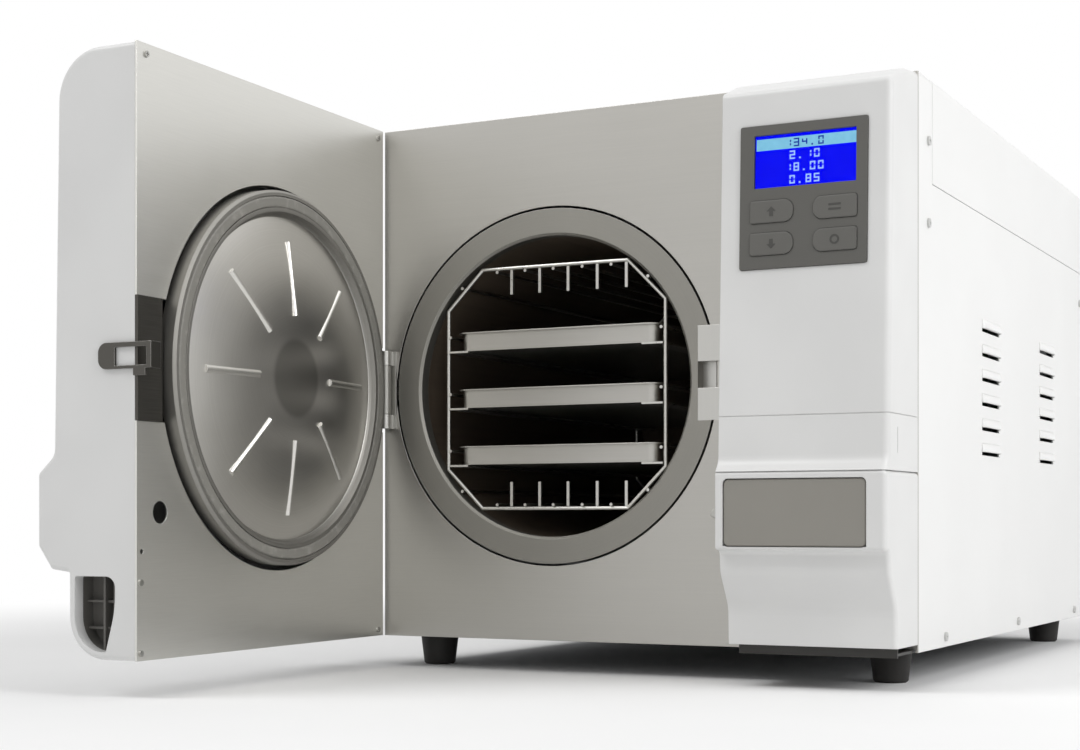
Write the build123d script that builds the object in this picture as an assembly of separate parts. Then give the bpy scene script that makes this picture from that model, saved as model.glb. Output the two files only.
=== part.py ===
"""Bench-top steam autoclave with its door open: casing, chamber, door, rack, trays and the works inside.

Everything is modelled with the door closed, X from the hinge-side wall to the right, Y from the front plate
to the rear, Z up from the floor. The door and its lid are then swung open about the hinge, and all is moved
so that the origin lies on the floor under the middle of the machine with its door open.
"""

import os
from build123d import *

os.makedirs("parts", exist_ok=True)

# Casing
BODY_WIDTH = 466.0
BODY_HEIGHT = 432.0
BODY_DEPTH = 625.0
FOOT_HEIGHT = 26.0
SHEET = 1.5
PLATE = 2.0
BASE_Z = FOOT_HEIGHT
TOP_Z = BASE_Z + BODY_HEIGHT
SKIRT_Z = BASE_Z + 354.5
SKIRT_Y = 40.0
SEAM = 0.8

# Chamber
CHAMBER_X = 159.5
CHAMBER_Z = BASE_Z + 208.5
BORE_R = 123.5
VESSEL_WALL = 3.0
VESSEL_END = 455.0
FLANGE_R = 145.5
FLANGE_THICK = 12.0
FLANGE_GAP = 2.0

# Door
DOOR_FACE_Y = -11.0
DOOR_LEFT = 3.0
DOOR_RIGHT = 334.0
DOOR_BOTTOM = BASE_Z + 0.4
DOOR_TOP = BASE_Z + 431.5
DOOR_OPEN_DEG = 88.5
HINGE_X = 5.0
HINGE_Y = -7.5
HINGE_PIN_R = 2.5
HINGE_BARREL_R = 5.0
HINGE_LOW = BASE_Z + 177.0
HINGE_HIGH = BASE_Z + 243.0
RUNNING = 0.05
SKIN = 3.5
LID_R = 145.0
LID_FRONT = 10.0
SPINDLE_R = 10.0

# Control column
FASCIA_LEFT = 337.0
FASCIA_TOP_DEPTH = 66.0
FASCIA_LOW_DEPTH = 74.0
LEDGE_Z = BASE_Z + 137.0
BULGE_LOW_Z = BASE_Z + 77.5
LEDGE = 6.0

# Origin on the floor, under the middle of the machine with its door open
ORIGIN_X = 191.0
ORIGIN_Y = 160.5

PIN_R = 1.5


def box(x0, x1, y0, y1, z0, z1):
    """A block between two corners."""
    return Pos((x0 + x1) / 2, (y0 + y1) / 2, (z0 + z1) / 2) * Box(x1 - x0, y1 - y0, z1 - z0)


def rod(start, end, radius):
    """A round bar from one point to another."""
    first = Vector(*start)
    line = Vector(*end) - first
    plane = Plane(origin=first, z_dir=line.normalized())
    return plane * extrude(Circle(radius), line.length)


def tube(start, end, outer, inner):
    """A round tube from one point to another."""
    return rod(start, end, outer) - rod(start, end, inner)


def rounded_plate(x0, x1, z0, z1, y0, y1, radius):
    """A plate parallel to the front, with rounded corners."""
    face = Plane.XZ * Pos((x0 + x1) / 2, (z0 + z1) / 2) * RectangleRounded(x1 - x0, z1 - z0, radius)
    return Pos(0, y1, 0) * extrude(face, y1 - y0)


def together(shapes):
    """One solid from overlapping or touching shapes."""
    first = shapes[0]
    return first.fuse(*shapes[1:]) if len(shapes) > 1 else first


def bent_pipe(points, radius, bend):
    """A pipe along straight runs with round bends."""
    path = FilletPolyline(*points, radius=bend)
    first = path.edges()[0]
    section = Plane(origin=first @ 0, z_dir=first % 0) * Circle(radius)
    return sweep(section, path=path)


def open_door(shape):
    """Swing a closed-door shape open about the hinge."""
    return Pos(HINGE_X, HINGE_Y, 0) * Rot(0, 0, -DOOR_OPEN_DEG) * Pos(-HINGE_X, -HINGE_Y, 0) * shape


def along_x(face, length):
    """Extrude a face that lies in the YZ plane to the right."""
    return extrude(face, amount=length, dir=(1, 0, 0))


def side_face(outline, radii):
    """A closed outline of (depth, height) points as a face in the YZ plane."""
    points = [(0, -depth, height) for depth, height in outline]
    return make_face(FilletPolyline(*points, radius=radii, close=True))


# The strip of the base pan that reaches forward under the control column
TOE = (341.0, 463.0)
TOE_DEPTH = 40.5
COLUMN_LOW_Z = BASE_Z + 6.0


def base_pan():
    floor = box(SHEET, BODY_WIDTH - SHEET, PLATE, BODY_DEPTH - SHEET, BASE_Z, BASE_Z + PLATE)
    rim = 14.0
    left = box(SHEET, 2 * SHEET, PLATE, BODY_DEPTH - SHEET, BASE_Z, BASE_Z + rim)
    right = box(BODY_WIDTH - 2 * SHEET, BODY_WIDTH - SHEET, PLATE, BODY_DEPTH - SHEET, BASE_Z, BASE_Z + rim)
    toe = box(TOE[0], TOE[1], -TOE_DEPTH, PLATE, BASE_Z, BASE_Z + PLATE)
    toe_lip = box(TOE[0], TOE[1], -TOE_DEPTH - SHEET, -TOE_DEPTH, BASE_Z - 1.5, COLUMN_LOW_Z - 0.5)
    return together([floor, left, right, toe, toe_lip])


FOOT_TOP_R = 16.5
FOOT_BOTTOM_R = 13.5
FOOT_SPOTS = [(30.0, 42.0), (433.0, 42.0), (30.0, 585.0), (433.0, 585.0)]


def feet():
    solids = []
    for x, y in FOOT_SPOTS:
        outline = Polyline(
            (0, 0, 0),
            (FOOT_BOTTOM_R - 1.5, 0, 0),
            (FOOT_BOTTOM_R, 0, 1.5),
            (FOOT_TOP_R, 0, FOOT_HEIGHT),
            (0, 0, FOOT_HEIGHT),
            (0, 0, 0),
        )
        body = revolve(make_face(outline), Axis.Z, 360)
        body -= Cylinder(4.0, 6.0, align=(Align.CENTER, Align.CENTER, Align.MIN))
        solids.append(Pos(x, y, 0) * body)
    return Compound(children=[s.solid() for s in solids])


LOCK_LEFT = 290.0
LOCK_RIGHT = 338.0
LOCK_WALL = 1.2
LOCK_LOW = BASE_Z + 177.2
LOCK_HIGH = BASE_Z + 251.7
SLOT_LOW = BASE_Z + 202.5
SLOT_HIGH = BASE_Z + 223.5
LOCK_BACK = 14.0

PLUNGER_X = 308.0
PLUNGER_Z = BASE_Z + 104.0
PLUNGER_R = 4.0


def front_plate():
    plate = box(0, BODY_WIDTH, 0, PLATE, BASE_Z, TOP_Z)
    hole = rod((CHAMBER_X, -1, CHAMBER_Z), (CHAMBER_X, PLATE + 1, CHAMBER_Z), FLANGE_R + FLANGE_GAP)
    lock = box(LOCK_LEFT, LOCK_RIGHT, -1, PLATE + 1, LOCK_LOW, LOCK_HIGH)
    plunger = rod((PLUNGER_X, -1, PLUNGER_Z), (PLUNGER_X, PLATE + 1, PLUNGER_Z), PLUNGER_R + RUNNING)
    notch = box(TOE[0] - 1, TOE[1] + 1, -1, PLATE + 1, BASE_Z - 1, BASE_Z + PLATE + 0.4)
    return plate - hole - lock - plunger - notch


VENT_Y = [194.0, 414.0]
VENT_LENGTH = 60.0
VENT_TOP_Z = BASE_Z + 260.0
VENT_PITCH = 20.7
VENT_COUNT = 6
VENT_HEIGHT = 3.4


def side_panel(outer_x, inward):
    """A side sheet, stepped at the front, with louvre slots and a lip behind the cover's skirt."""
    inner_x = outer_x + inward * SHEET
    x0, x1 = min(outer_x, inner_x), max(outer_x, inner_x)
    low = box(x0, x1, PLATE, BODY_DEPTH, BASE_Z, SKIRT_Z - SEAM)
    high = box(x0, x1, PLATE, SKIRT_Y - SEAM, BASE_Z, TOP_Z - SHEET)
    lip_x = inner_x + inward * SHEET
    l0, l1 = min(inner_x, lip_x), max(inner_x, lip_x)
    lip_low = box(l0, l1, PLATE + 2, BODY_DEPTH - 2 * SHEET, SKIRT_Z - 14, SKIRT_Z + 10)
    lip_front = box(l0, l1, PLATE + 2, SKIRT_Y + 10, SKIRT_Z - 14, TOP_Z - 2 * SHEET)
    panel = together([low, high, lip_low, lip_front])
    slots = []
    for start in VENT_Y:
        for row in range(VENT_COUNT):
            z = VENT_TOP_Z - row * VENT_PITCH
            slots.append(box(x0 - 1, x1 + 1, start, start + VENT_LENGTH, z - VENT_HEIGHT, z))
    return panel.cut(*slots)


SCREW_SPOTS = [
    (28.0, BASE_Z + 385.0),
    (28.0, BASE_Z + 323.0),
    (77.0, BASE_Z + 8.0),
    (324.0, BASE_Z + 8.0),
    (573.0, BASE_Z + 8.0),
    (600.0, BASE_Z + 323.0),
]
SCREW_HEAD_R = 3.6


def pan_head(x, y, z, direction):
    """A pan head lying against a side, with a cross recess."""
    head = rod((x, y, z), (x + direction * 1.8, y, z), SCREW_HEAD_R)
    tip = x + direction * 1.8
    cross = box(min(tip - direction, tip), max(tip - direction, tip), y - 2.0, y + 2.0, z - 0.4, z + 0.4)
    upright = box(min(tip - direction, tip), max(tip - direction, tip), y - 0.4, y + 0.4, z - 2.0, z + 2.0)
    return head - cross - upright


def side_screws():
    heads = []
    for y, z in SCREW_SPOTS:
        heads.append(pan_head(BODY_WIDTH, y, z, 1))
        heads.append(pan_head(0, y, z, -1))
    return Compound(children=[h.solid() for h in heads])


TANK_HOLE_X = (335.0, 445.0)
TANK_HOLE_Y = (480.0, 590.0)
TANK_LID_THICK = 3.0
TANK_HINGE_Y = 604.0
TANK_HINGE_Z = TOP_Z + 4.5
TANK_BARREL_R = 3.5
TANK_LUGS_X = (352.0, 428.0)


def top_cover():
    top = box(0, BODY_WIDTH, SKIRT_Y, BODY_DEPTH, TOP_Z - SHEET, TOP_Z)
    brow = box(0, BODY_WIDTH, PLATE, SKIRT_Y, TOP_Z - SHEET, TOP_Z)
    left = box(0, SHEET, SKIRT_Y, BODY_DEPTH, SKIRT_Z, TOP_Z)
    right = box(BODY_WIDTH - SHEET, BODY_WIDTH, SKIRT_Y, BODY_DEPTH, SKIRT_Z, TOP_Z)
    cover = together([top, brow, left, right])
    cover -= box(*TANK_HOLE_X, *TANK_HOLE_Y, TOP_Z - 5, TOP_Z + 1)
    lugs = []
    for x in TANK_LUGS_X:
        lugs.append(box(x - 3, x + 3, TANK_HINGE_Y - 3, TANK_HINGE_Y + 3, TOP_Z - 0.5, TANK_HINGE_Z + 3))
        lugs.append(rod((x - 9, TANK_HINGE_Y, TANK_HINGE_Z), (x + 9, TANK_HINGE_Y, TANK_HINGE_Z), PIN_R))
    return together([cover] + lugs)


def tank_lid():
    rim = 6.0
    lid = box(
        TANK_HOLE_X[0] - rim,
        TANK_HOLE_X[1] + rim,
        TANK_HOLE_Y[0] - rim,
        TANK_HINGE_Y - 7,
        TOP_Z + 0.3,
        TOP_Z + 0.3 + TANK_LID_THICK,
    )
    lid = fillet(lid.edges().filter_by(Axis.Z), 8)
    plug = box(
        TANK_HOLE_X[0] + 2,
        TANK_HOLE_X[1] - 2,
        TANK_HOLE_Y[0] + 2,
        TANK_HOLE_Y[1] - 6,
        TOP_Z - 4,
        TOP_Z + 1,
    )
    shapes = [lid, plug]
    for x in TANK_LUGS_X:
        for start in (x - 9, x + 3.3):
            barrel = rod((start, TANK_HINGE_Y, TANK_HINGE_Z), (start + 5.7, TANK_HINGE_Y, TANK_HINGE_Z), TANK_BARREL_R)
            arm = box(start, start + 5.7, TANK_HINGE_Y - 10, TANK_HINGE_Y, TOP_Z + 1, TOP_Z + 3.3)
            shapes += [barrel, arm]
    solid = together(shapes)
    for x in TANK_LUGS_X:
        solid -= rod((x - 10, TANK_HINGE_Y, TANK_HINGE_Z), (x + 10, TANK_HINGE_Y, TANK_HINGE_Z), PIN_R + RUNNING)
    return solid


FAN_X = 150.0
FAN_Z = BASE_Z + 190.0
FAN_R = 60.0
FAN_SHAFT_R = 4.0
INLET_X = 405.0
INLET_Z = 90.0
SWITCH_X = 350.0
SWITCH_Z = 90.0
DRAIN_X = (60.0, 110.0)
DRAIN_Z = 62.0
FILTER_X = 300.0
FILTER_Z = 330.0
VALVE_X = 250.0
VALVE_Z = 400.0


def rear_panel():
    rear = BODY_DEPTH - SHEET
    panel = box(SHEET, BODY_WIDTH - SHEET, rear, BODY_DEPTH, BASE_Z + 0.2, TOP_Z - SHEET)
    panel -= rod((FAN_X, rear - 1, FAN_Z), (FAN_X, BODY_DEPTH + 1, FAN_Z), FAN_R)
    panel -= box(INLET_X - 14, INLET_X + 14, rear - 1, BODY_DEPTH + 1, INLET_Z - 10, INLET_Z + 10)
    panel -= box(SWITCH_X - 11, SWITCH_X + 11, rear - 1, BODY_DEPTH + 1, SWITCH_Z - 14, SWITCH_Z + 14)
    for x in DRAIN_X:
        panel -= rod((x, rear - 1, DRAIN_Z), (x, BODY_DEPTH + 1, DRAIN_Z), 6)
    panel -= rod((FILTER_X, rear - 1, FILTER_Z), (FILTER_X, BODY_DEPTH + 1, FILTER_Z), 6)
    panel -= rod((VALVE_X, rear - 1, VALVE_Z), (VALVE_X, BODY_DEPTH + 1, VALVE_Z), 8)
    guard = [rod((FAN_X, rear, FAN_Z), (FAN_X, BODY_DEPTH, FAN_Z), 20)]
    for ring in (31.0, 41.0, 51.0):
        guard.append(tube((FAN_X, rear, FAN_Z), (FAN_X, BODY_DEPTH, FAN_Z), ring + 1.2, ring - 1.2))
    for turn in range(8):
        reach = FAN_R + 1
        guard.append(
            Pos(FAN_X, (rear + BODY_DEPTH) / 2, FAN_Z)
            * Rot(0, -360 * turn / 8, 0)
            * Pos(reach / 2, 0, 0)
            * Box(reach, SHEET, 3.0)
        )
    guard.append(rod((FAN_X, rear - 26, FAN_Z), (FAN_X, rear, FAN_Z), FAN_SHAFT_R))
    return together([panel] + guard)


def condenser_fan():
    rear = BODY_DEPTH - SHEET
    front_y = rear - 24
    back_y = rear - 6
    hub = rod((FAN_X, front_y, FAN_Z), (FAN_X, back_y, FAN_Z), 18)
    blades = []
    count = 7
    for turn in range(count):
        blade = Pos(37, 0, 0) * Rot(35, 0, 0) * Box(40, 15, 1.6)
        blades.append(Pos(FAN_X, (front_y + back_y) / 2, FAN_Z) * Rot(0, 360 * turn / count, 0) * blade)
    fan = together([hub] + blades)
    return fan - rod((FAN_X, front_y - 1, FAN_Z), (FAN_X, back_y + 1, FAN_Z), FAN_SHAFT_R + RUNNING)


def chamber_flange():
    front = rod((CHAMBER_X, 0, CHAMBER_Z), (CHAMBER_X, FLANGE_THICK, CHAMBER_Z), FLANGE_R)
    front -= rod((CHAMBER_X, -1, CHAMBER_Z), (CHAMBER_X, FLANGE_THICK + 1, CHAMBER_Z), BORE_R)
    mouth = front.edges().filter_by(GeomType.CIRCLE).group_by(Axis.Y)[0].sort_by(SortBy.RADIUS)[0]
    front = chamfer(mouth, 2.0)
    return front - box(LOCK_LEFT, LOCK_RIGHT, -1, FLANGE_THICK + 1, LOCK_LOW, LOCK_HIGH)


def chamber_vessel():
    outer = BORE_R + VESSEL_WALL
    wall = tube((CHAMBER_X, FLANGE_THICK, CHAMBER_Z), (CHAMBER_X, VESSEL_END, CHAMBER_Z), outer, BORE_R)
    back = rod((CHAMBER_X, VESSEL_END, CHAMBER_Z), (CHAMBER_X, VESSEL_END + 5, CHAMBER_Z), outer)
    return together([wall, back])


BAND_THICK = 2.4


def heater_bands():
    """Three clamp bands around the vessel, each open at the top between two clamp ears."""
    inner = BORE_R + VESSEL_WALL
    top = CHAMBER_Z + inner
    bands = []
    for start in (60.0, 180.0, 300.0):
        end = start + 40
        ring = tube((CHAMBER_X, start, CHAMBER_Z), (CHAMBER_X, end, CHAMBER_Z), inner + BAND_THICK, inner)
        ring -= box(CHAMBER_X - 4, CHAMBER_X + 4, start - 1, end + 1, CHAMBER_Z, top + 5)
        left = box(CHAMBER_X - 6, CHAMBER_X - 4, start, end, top - 0.05, top + 11)
        right = box(CHAMBER_X + 4, CHAMBER_X + 6, start, end, top - 0.05, top + 11)
        bands.append(together([ring, left, right]).solid())
    return Compound(children=bands)


def insulation_jacket():
    """A wrapped blanket with a seam along the top, drawn in to the vessel at both ends."""
    vessel = BORE_R + VESSEL_WALL
    inner = vessel + BAND_THICK + 1
    outer = inner + 14
    wrap = tube((CHAMBER_X, 30, CHAMBER_Z), (CHAMBER_X, 420, CHAMBER_Z), outer, inner)
    front = tube((CHAMBER_X, 30, CHAMBER_Z), (CHAMBER_X, 42, CHAMBER_Z), outer - 1, vessel)
    rear = tube((CHAMBER_X, 408, CHAMBER_Z), (CHAMBER_X, 420, CHAMBER_Z), outer - 1, vessel)
    seam = box(CHAMBER_X - 9, CHAMBER_X + 9, 29, 421, CHAMBER_Z, CHAMBER_Z + outer + 1)
    return together([wrap, front, rear]) - seam


def chamber_cradles():
    saddles = []
    for y in (18.0, 430.0):
        block = box(CHAMBER_X - 95, CHAMBER_X + 95, y, y + 5, BASE_Z + PLATE, CHAMBER_Z - 60)
        block -= rod((CHAMBER_X, y - 1, CHAMBER_Z), (CHAMBER_X, y + 6, CHAMBER_Z), BORE_R + VESSEL_WALL)
        block -= box(CHAMBER_X - 60, CHAMBER_X + 60, y - 1, y + 6, BASE_Z + 20, BASE_Z + 62)
        saddles.append(block.solid())
    return Compound(children=saddles)


LOOP_LOW = BASE_Z + 203.8
LOOP_HIGH = BASE_Z + 222.3
BOLT_R = 4.5
BOLT_Y = DOOR_FACE_Y - 8.5
BOLT_Z = (LOOP_LOW + LOOP_HIGH) / 2


def lock_housing():
    block = box(LOCK_LEFT, LOCK_RIGHT, 0, LOCK_BACK, LOCK_LOW, LOCK_HIGH)
    block -= box(LOCK_LEFT - 1, LOCK_RIGHT - LOCK_WALL, -1, LOCK_BACK - 3, SLOT_LOW, SLOT_HIGH)
    guide = rod((307, 5, SLOT_LOW - 1), (307, 5, SLOT_HIGH + 1), 3)
    return together([block, guide])


def lock_bolt():
    tip = FASCIA_LEFT - 0.2
    bolt = rod((tip, BOLT_Y, BOLT_Z), (tip + 30, BOLT_Y, BOLT_Z), BOLT_R)
    return chamfer(bolt.edges().group_by(Axis.X)[0], 0.6)


def lock_motor():
    case = box(352, 400, -42, 0, BOLT_Z - 18, BOLT_Z + 18)
    case -= rod((351, BOLT_Y, BOLT_Z), (372, BOLT_Y, BOLT_Z), BOLT_R + RUNNING)
    can = rod((400, BOLT_Y, BOLT_Z), (436, BOLT_Y, BOLT_Z), 14)
    return together([case, can])


def door_plunger():
    pin = rod((PLUNGER_X, DOOR_FACE_Y + 1.5, PLUNGER_Z), (PLUNGER_X, 16, PLUNGER_Z), PLUNGER_R)
    collar = rod((PLUNGER_X, PLATE + 0.3, PLUNGER_Z), (PLUNGER_X, PLATE + 3, PLUNGER_Z), PLUNGER_R + 2.5)
    pin = chamfer(pin.edges().group_by(Axis.Y)[0], 1.2)
    return together([pin, collar])


KNUCKLE = 12.0


def hinge_bracket():
    leaf = box(0, 12.5, -2, 0, HINGE_LOW, HINGE_HIGH)
    shapes = [leaf]
    for low in (HINGE_LOW, HINGE_HIGH - KNUCKLE):
        high = low + KNUCKLE
        shapes.append(rod((HINGE_X, HINGE_Y, low), (HINGE_X, HINGE_Y, high), HINGE_BARREL_R))
        shapes.append(box(HINGE_X - 4, HINGE_X + 4, HINGE_Y, 0, low, high))
    bracket = together(shapes)
    return bracket - rod((HINGE_X, HINGE_Y, HINGE_LOW - 1), (HINGE_X, HINGE_Y, HINGE_HIGH + 1), HINGE_PIN_R)


def hinge_pin():
    return rod((HINGE_X, HINGE_Y, HINGE_LOW), (HINGE_X, HINGE_Y, HINGE_HIGH), HINGE_PIN_R)


FACE_TILT = 1.8
BEZEL = (352.0, 449.0, BASE_Z + 282.0, BASE_Z + 388.0)
BEZEL_CORNER = 1.5
LCD = (363.0, 440.5, BASE_Z + 341.5, BASE_Z + 380.5)
KEY_COLUMNS = ((360.3, 393.5), (408.6, 441.5))
KEY_ROWS = (BASE_Z + 324.0, BASE_Z + 300.3)
KEY_HEIGHT = 16.5
TILT_Z = BASE_Z + 335.0


def face_depth(z):
    """How far the upper fascia stands out from the front plate at a height."""
    share = (z - LEDGE_Z) / (TOP_Z - 35 - LEDGE_Z)
    return FASCIA_LOW_DEPTH + (FASCIA_TOP_DEPTH - FASCIA_LOW_DEPTH) * share


def on_face(shape):
    """Lean a shape modelled about Y = 0 onto the slope of the upper fascia."""
    return Pos(0, -face_depth(TILT_Z), TILT_Z) * Rot(-FACE_TILT, 0, 0) * Pos(0, 0, -TILT_Z) * shape


CORNER = 5.0
SEAM_Z = BASE_Z + 174.8
SEAM_DEEP = 0.5


def fascia_seam():
    """The thin groove that runs round the face and the sides of the upper fascia."""
    low, high = SEAM_Z - 0.3, SEAM_Z + 0.3
    face = face_depth(SEAM_Z) - SEAM_DEEP
    core = box(FASCIA_LEFT + SEAM_DEEP, BODY_WIDTH - SEAM_DEEP, -face, 10, low, high)
    corner = core.edges().filter_by(Axis.Z).sort_by(Axis.X)[-2:].sort_by(Axis.Y)[0]
    core = fillet(corner, CORNER - SEAM_DEEP)
    return box(FASCIA_LEFT - 1, BODY_WIDTH + 1, -face - 5, -3, low, high) - core


def upper_fascia():
    crown = 4.0
    drop = 18.0
    outline = [
        (0, TOP_Z),
        (30, TOP_Z - crown),
        (FASCIA_TOP_DEPTH - 1, TOP_Z - drop),
        (face_depth(LEDGE_Z + 5), LEDGE_Z + 5),
        (FASCIA_LOW_DEPTH + LEDGE, LEDGE_Z - 3),
        (0, LEDGE_Z - 3),
    ]
    radii = [0, 60, 5, 12, 0, 0]
    outer = along_x(side_face(outline, radii), BODY_WIDTH - FASCIA_LEFT)
    outer = Pos(FASCIA_LEFT, 0, 0) * outer
    front = [e for e in outer.edges().filter_by(GeomType.LINE) if abs(e.center().X - BODY_WIDTH) < 0.1]
    front = [e for e in front if -e.center().Y > FASCIA_TOP_DEPTH - 3 and e.length > 50]
    outer = fillet(front, CORNER)
    hollow = [
        (-1, TOP_Z - SKIN),
        (29, TOP_Z - crown - SKIN),
        (FASCIA_TOP_DEPTH - 1 - SKIN, TOP_Z - drop - SKIN),
        (face_depth(LEDGE_Z + 5) - SKIN, LEDGE_Z + 5),
        (face_depth(LEDGE_Z) - SKIN, LEDGE_Z - 4),
        (-1, LEDGE_Z - 4),
    ]
    inner = along_x(side_face(hollow, [0, 56, 2, 3, 0, 0]), BODY_WIDTH - FASCIA_LEFT - 2 * SKIN)
    shell = outer - Pos(FASCIA_LEFT + SKIN, 0, 0) * inner
    seat = on_face(rounded_plate(BEZEL[0], BEZEL[1], BEZEL[2], BEZEL[3], -5, 2.0, BEZEL_CORNER))
    opening = on_face(rounded_plate(BEZEL[0] + 4, BEZEL[1] - 4, BEZEL[2] + 4, BEZEL[3] - 4, -5, 12, 2))
    bolt_hole = rod((FASCIA_LEFT - 1, BOLT_Y, BOLT_Z), (FASCIA_LEFT + SKIN + 1, BOLT_Y, BOLT_Z), BOLT_R + RUNNING)
    side_slot = box(BODY_WIDTH - 0.8, BODY_WIDTH + 1, -52.3, -51.1, BASE_Z + 146.7, BASE_Z + 165.3)
    return shell - seat - opening - bolt_hole - fascia_seam() - side_slot


FLAP = (343.0, 451.0, BASE_Z + 79.5, BASE_Z + 128.5)
FLAP_THICK = 2.5
FLAP_HINGE_Z = BASE_Z + 86.0
BULGE_DEPTH = FASCIA_LOW_DEPTH + LEDGE
FLAP_HINGE_Y = -BULGE_DEPTH + 3.4


def lower_fascia():
    low = COLUMN_LOW_Z
    outline = [
        (0, LEDGE_Z - 3),
        (BULGE_DEPTH, LEDGE_Z - 3),
        (BULGE_DEPTH, BULGE_LOW_Z),
        (BULGE_DEPTH - 9, BULGE_LOW_Z - 2),
        (BULGE_DEPTH - 10, BASE_Z + 60),
        (BULGE_DEPTH - 26, BASE_Z + 34),
        (BULGE_DEPTH - 27, low),
        (0, low),
    ]
    radii = [0, 2.5, 2, 4, 18, 22, 0, 0]
    width = BODY_WIDTH - FASCIA_LEFT
    outer = Pos(FASCIA_LEFT, 0, 0) * along_x(side_face(outline, radii), width)
    right_edges = [e for e in outer.edges() if abs(e.center().X - BODY_WIDTH) < 0.1 and -e.center().Y > 40]
    outer = fillet([e for e in right_edges if e.center().Z < LEDGE_Z - 4], 3.5)
    hollow = [
        (-1, LEDGE_Z - 3 - SKIN),
        (BULGE_DEPTH - SKIN, LEDGE_Z - 3 - SKIN),
        (BULGE_DEPTH - SKIN, BULGE_LOW_Z + SKIN),
        (BULGE_DEPTH - 9 - SKIN, BULGE_LOW_Z - 2 + SKIN),
        (BULGE_DEPTH - 10 - SKIN, BASE_Z + 60 + 2),
        (BULGE_DEPTH - 26 - SKIN, BASE_Z + 34 + 2),
        (BULGE_DEPTH - 27 - SKIN, low + 1.0),
        (-1, low + 1.0),
    ]
    inner = along_x(side_face(hollow, [0, 1, 2, 2, 14, 22, 0, 0]), width - 2 * SKIN)
    shell = outer - Pos(FASCIA_LEFT + SKIN, 0, 0) * inner
    wider = 0.5
    recess = rounded_plate(
        FLAP[0] - wider,
        FLAP[1] + wider,
        FLAP[2] - wider,
        FLAP[3] + wider,
        -BULGE_DEPTH - 1,
        -BULGE_DEPTH + SKIN + 1,
        4,
    )
    left_end = (FLAP[0] - wider, FLAP_HINGE_Y, FLAP_HINGE_Z)
    right_end = (FLAP[1] + wider, FLAP_HINGE_Y, FLAP_HINGE_Z)
    relief = rod(left_end, right_end, 7.3)
    shell = shell - recess - relief
    pins = []
    for x, way in ((FLAP[0] - wider, 1), (FLAP[1] + wider, -1)):
        base_x = x - way * 2.0
        y, z = FLAP_HINGE_Y, FLAP_HINGE_Z
        post = box(min(base_x, x), max(base_x, x), y - 2, y + 6, z - 2, z + 2)
        pin = rod((x - way * 1.0, y, z), (x + way * 5.0, y, z), 1.0)
        pins += [post, pin]
    return together([shell] + pins)


def printer_flap():
    front_y = -BULGE_DEPTH + 0.8
    plate = rounded_plate(FLAP[0], FLAP[1], FLAP[2], FLAP[3], front_y, front_y + FLAP_THICK, 4)
    plate = chamfer(plate.faces().sort_by(Axis.Y)[0].edges(), 0.8)
    shapes = [plate]
    for x in (FLAP[0] + 0.2, FLAP[1] - 0.2 - 6):
        shapes.append(rod((x, FLAP_HINGE_Y, FLAP_HINGE_Z), (x + 6, FLAP_HINGE_Y, FLAP_HINGE_Z), 2.2))
    flap = together(shapes)
    for x, way in ((FLAP[0] - 1, 1), (FLAP[1] + 1, -1)):
        flap -= rod((x, FLAP_HINGE_Y, FLAP_HINGE_Z), (x + way * 6.8, FLAP_HINGE_Y, FLAP_HINGE_Z), 1.0 + RUNNING)
    return flap


PAPER_Y = -36.0
PAPER_Z = BASE_Z + 104.0


def printer_unit():
    left = box(358, 361, -66, 0, BASE_Z + 86, BASE_Z + 126)
    right = box(433, 436, -66, 0, BASE_Z + 86, BASE_Z + 126)
    back = box(358, 436, -4, 0, BASE_Z + 86, BASE_Z + 126)
    head = box(361, 433, -66, -58, BASE_Z + 112, BASE_Z + 124)
    spindle = rod((360, PAPER_Y, PAPER_Z), (434, PAPER_Y, PAPER_Z), 4)
    return together([left, right, back, head, spindle])


def paper_roll():
    return tube((368, PAPER_Y, PAPER_Z), (426, PAPER_Y, PAPER_Z), 16, 4 + 0.1)


def control_bezel():
    plate = rounded_plate(BEZEL[0] + 0.2, BEZEL[1] - 0.2, BEZEL[2] + 0.2, BEZEL[3] - 0.2, -1.0, 2.0, BEZEL_CORNER)
    plate -= box(LCD[0], LCD[1], -2, 3, LCD[2], LCD[3])
    for side, column in enumerate(KEY_COLUMNS):
        for row in KEY_ROWS:
            plate -= key_shape(column, row, side, 0.25, -2, 3)
    return on_face(plate)


def key_shape(column, row, side, grow, y0, y1):
    """A D-shaped key whose rounded end points to the middle of the key pad."""
    x0, x1 = column[0] - grow, column[1] + grow
    z0, z1 = row - KEY_HEIGHT / 2 - grow, row + KEY_HEIGHT / 2 + grow
    small = 2.0 + grow
    large = 7.0 + grow
    radii = [small, large, large, small] if side == 0 else [large, small, small, large]
    outline = FilletPolyline((x0, 0, z0), (x1, 0, z0), (x1, 0, z1), (x0, 0, z1), radius=radii, close=True)
    return Pos(0, y0, 0) * extrude(make_face(outline), amount=y1 - y0, dir=(0, 1, 0))


def key(side, row):
    cap = key_shape(KEY_COLUMNS[side], KEY_ROWS[row], side, 0, -1.8, 2.0)
    stem_x = sum(KEY_COLUMNS[side]) / 2
    stem = box(stem_x - 2, stem_x + 2, 1.0, 4.5, KEY_ROWS[row] - 2, KEY_ROWS[row] + 2)
    return on_face(together([cap, stem]))


def display_module():
    glass = box(LCD[0] - 3, LCD[1] + 3, 2.0, 7.0, LCD[2] - 3, LCD[3] + 2)
    board = box(BEZEL[0] + 6, BEZEL[1] - 6, 7.0, 8.6, BEZEL[2] + 6, BEZEL[3] - 6)
    return on_face(together([glass, board]))


def display_window():
    return on_face(box(LCD[0], LCD[1], 0.4, 2.0, LCD[2], LCD[3]))


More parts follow.
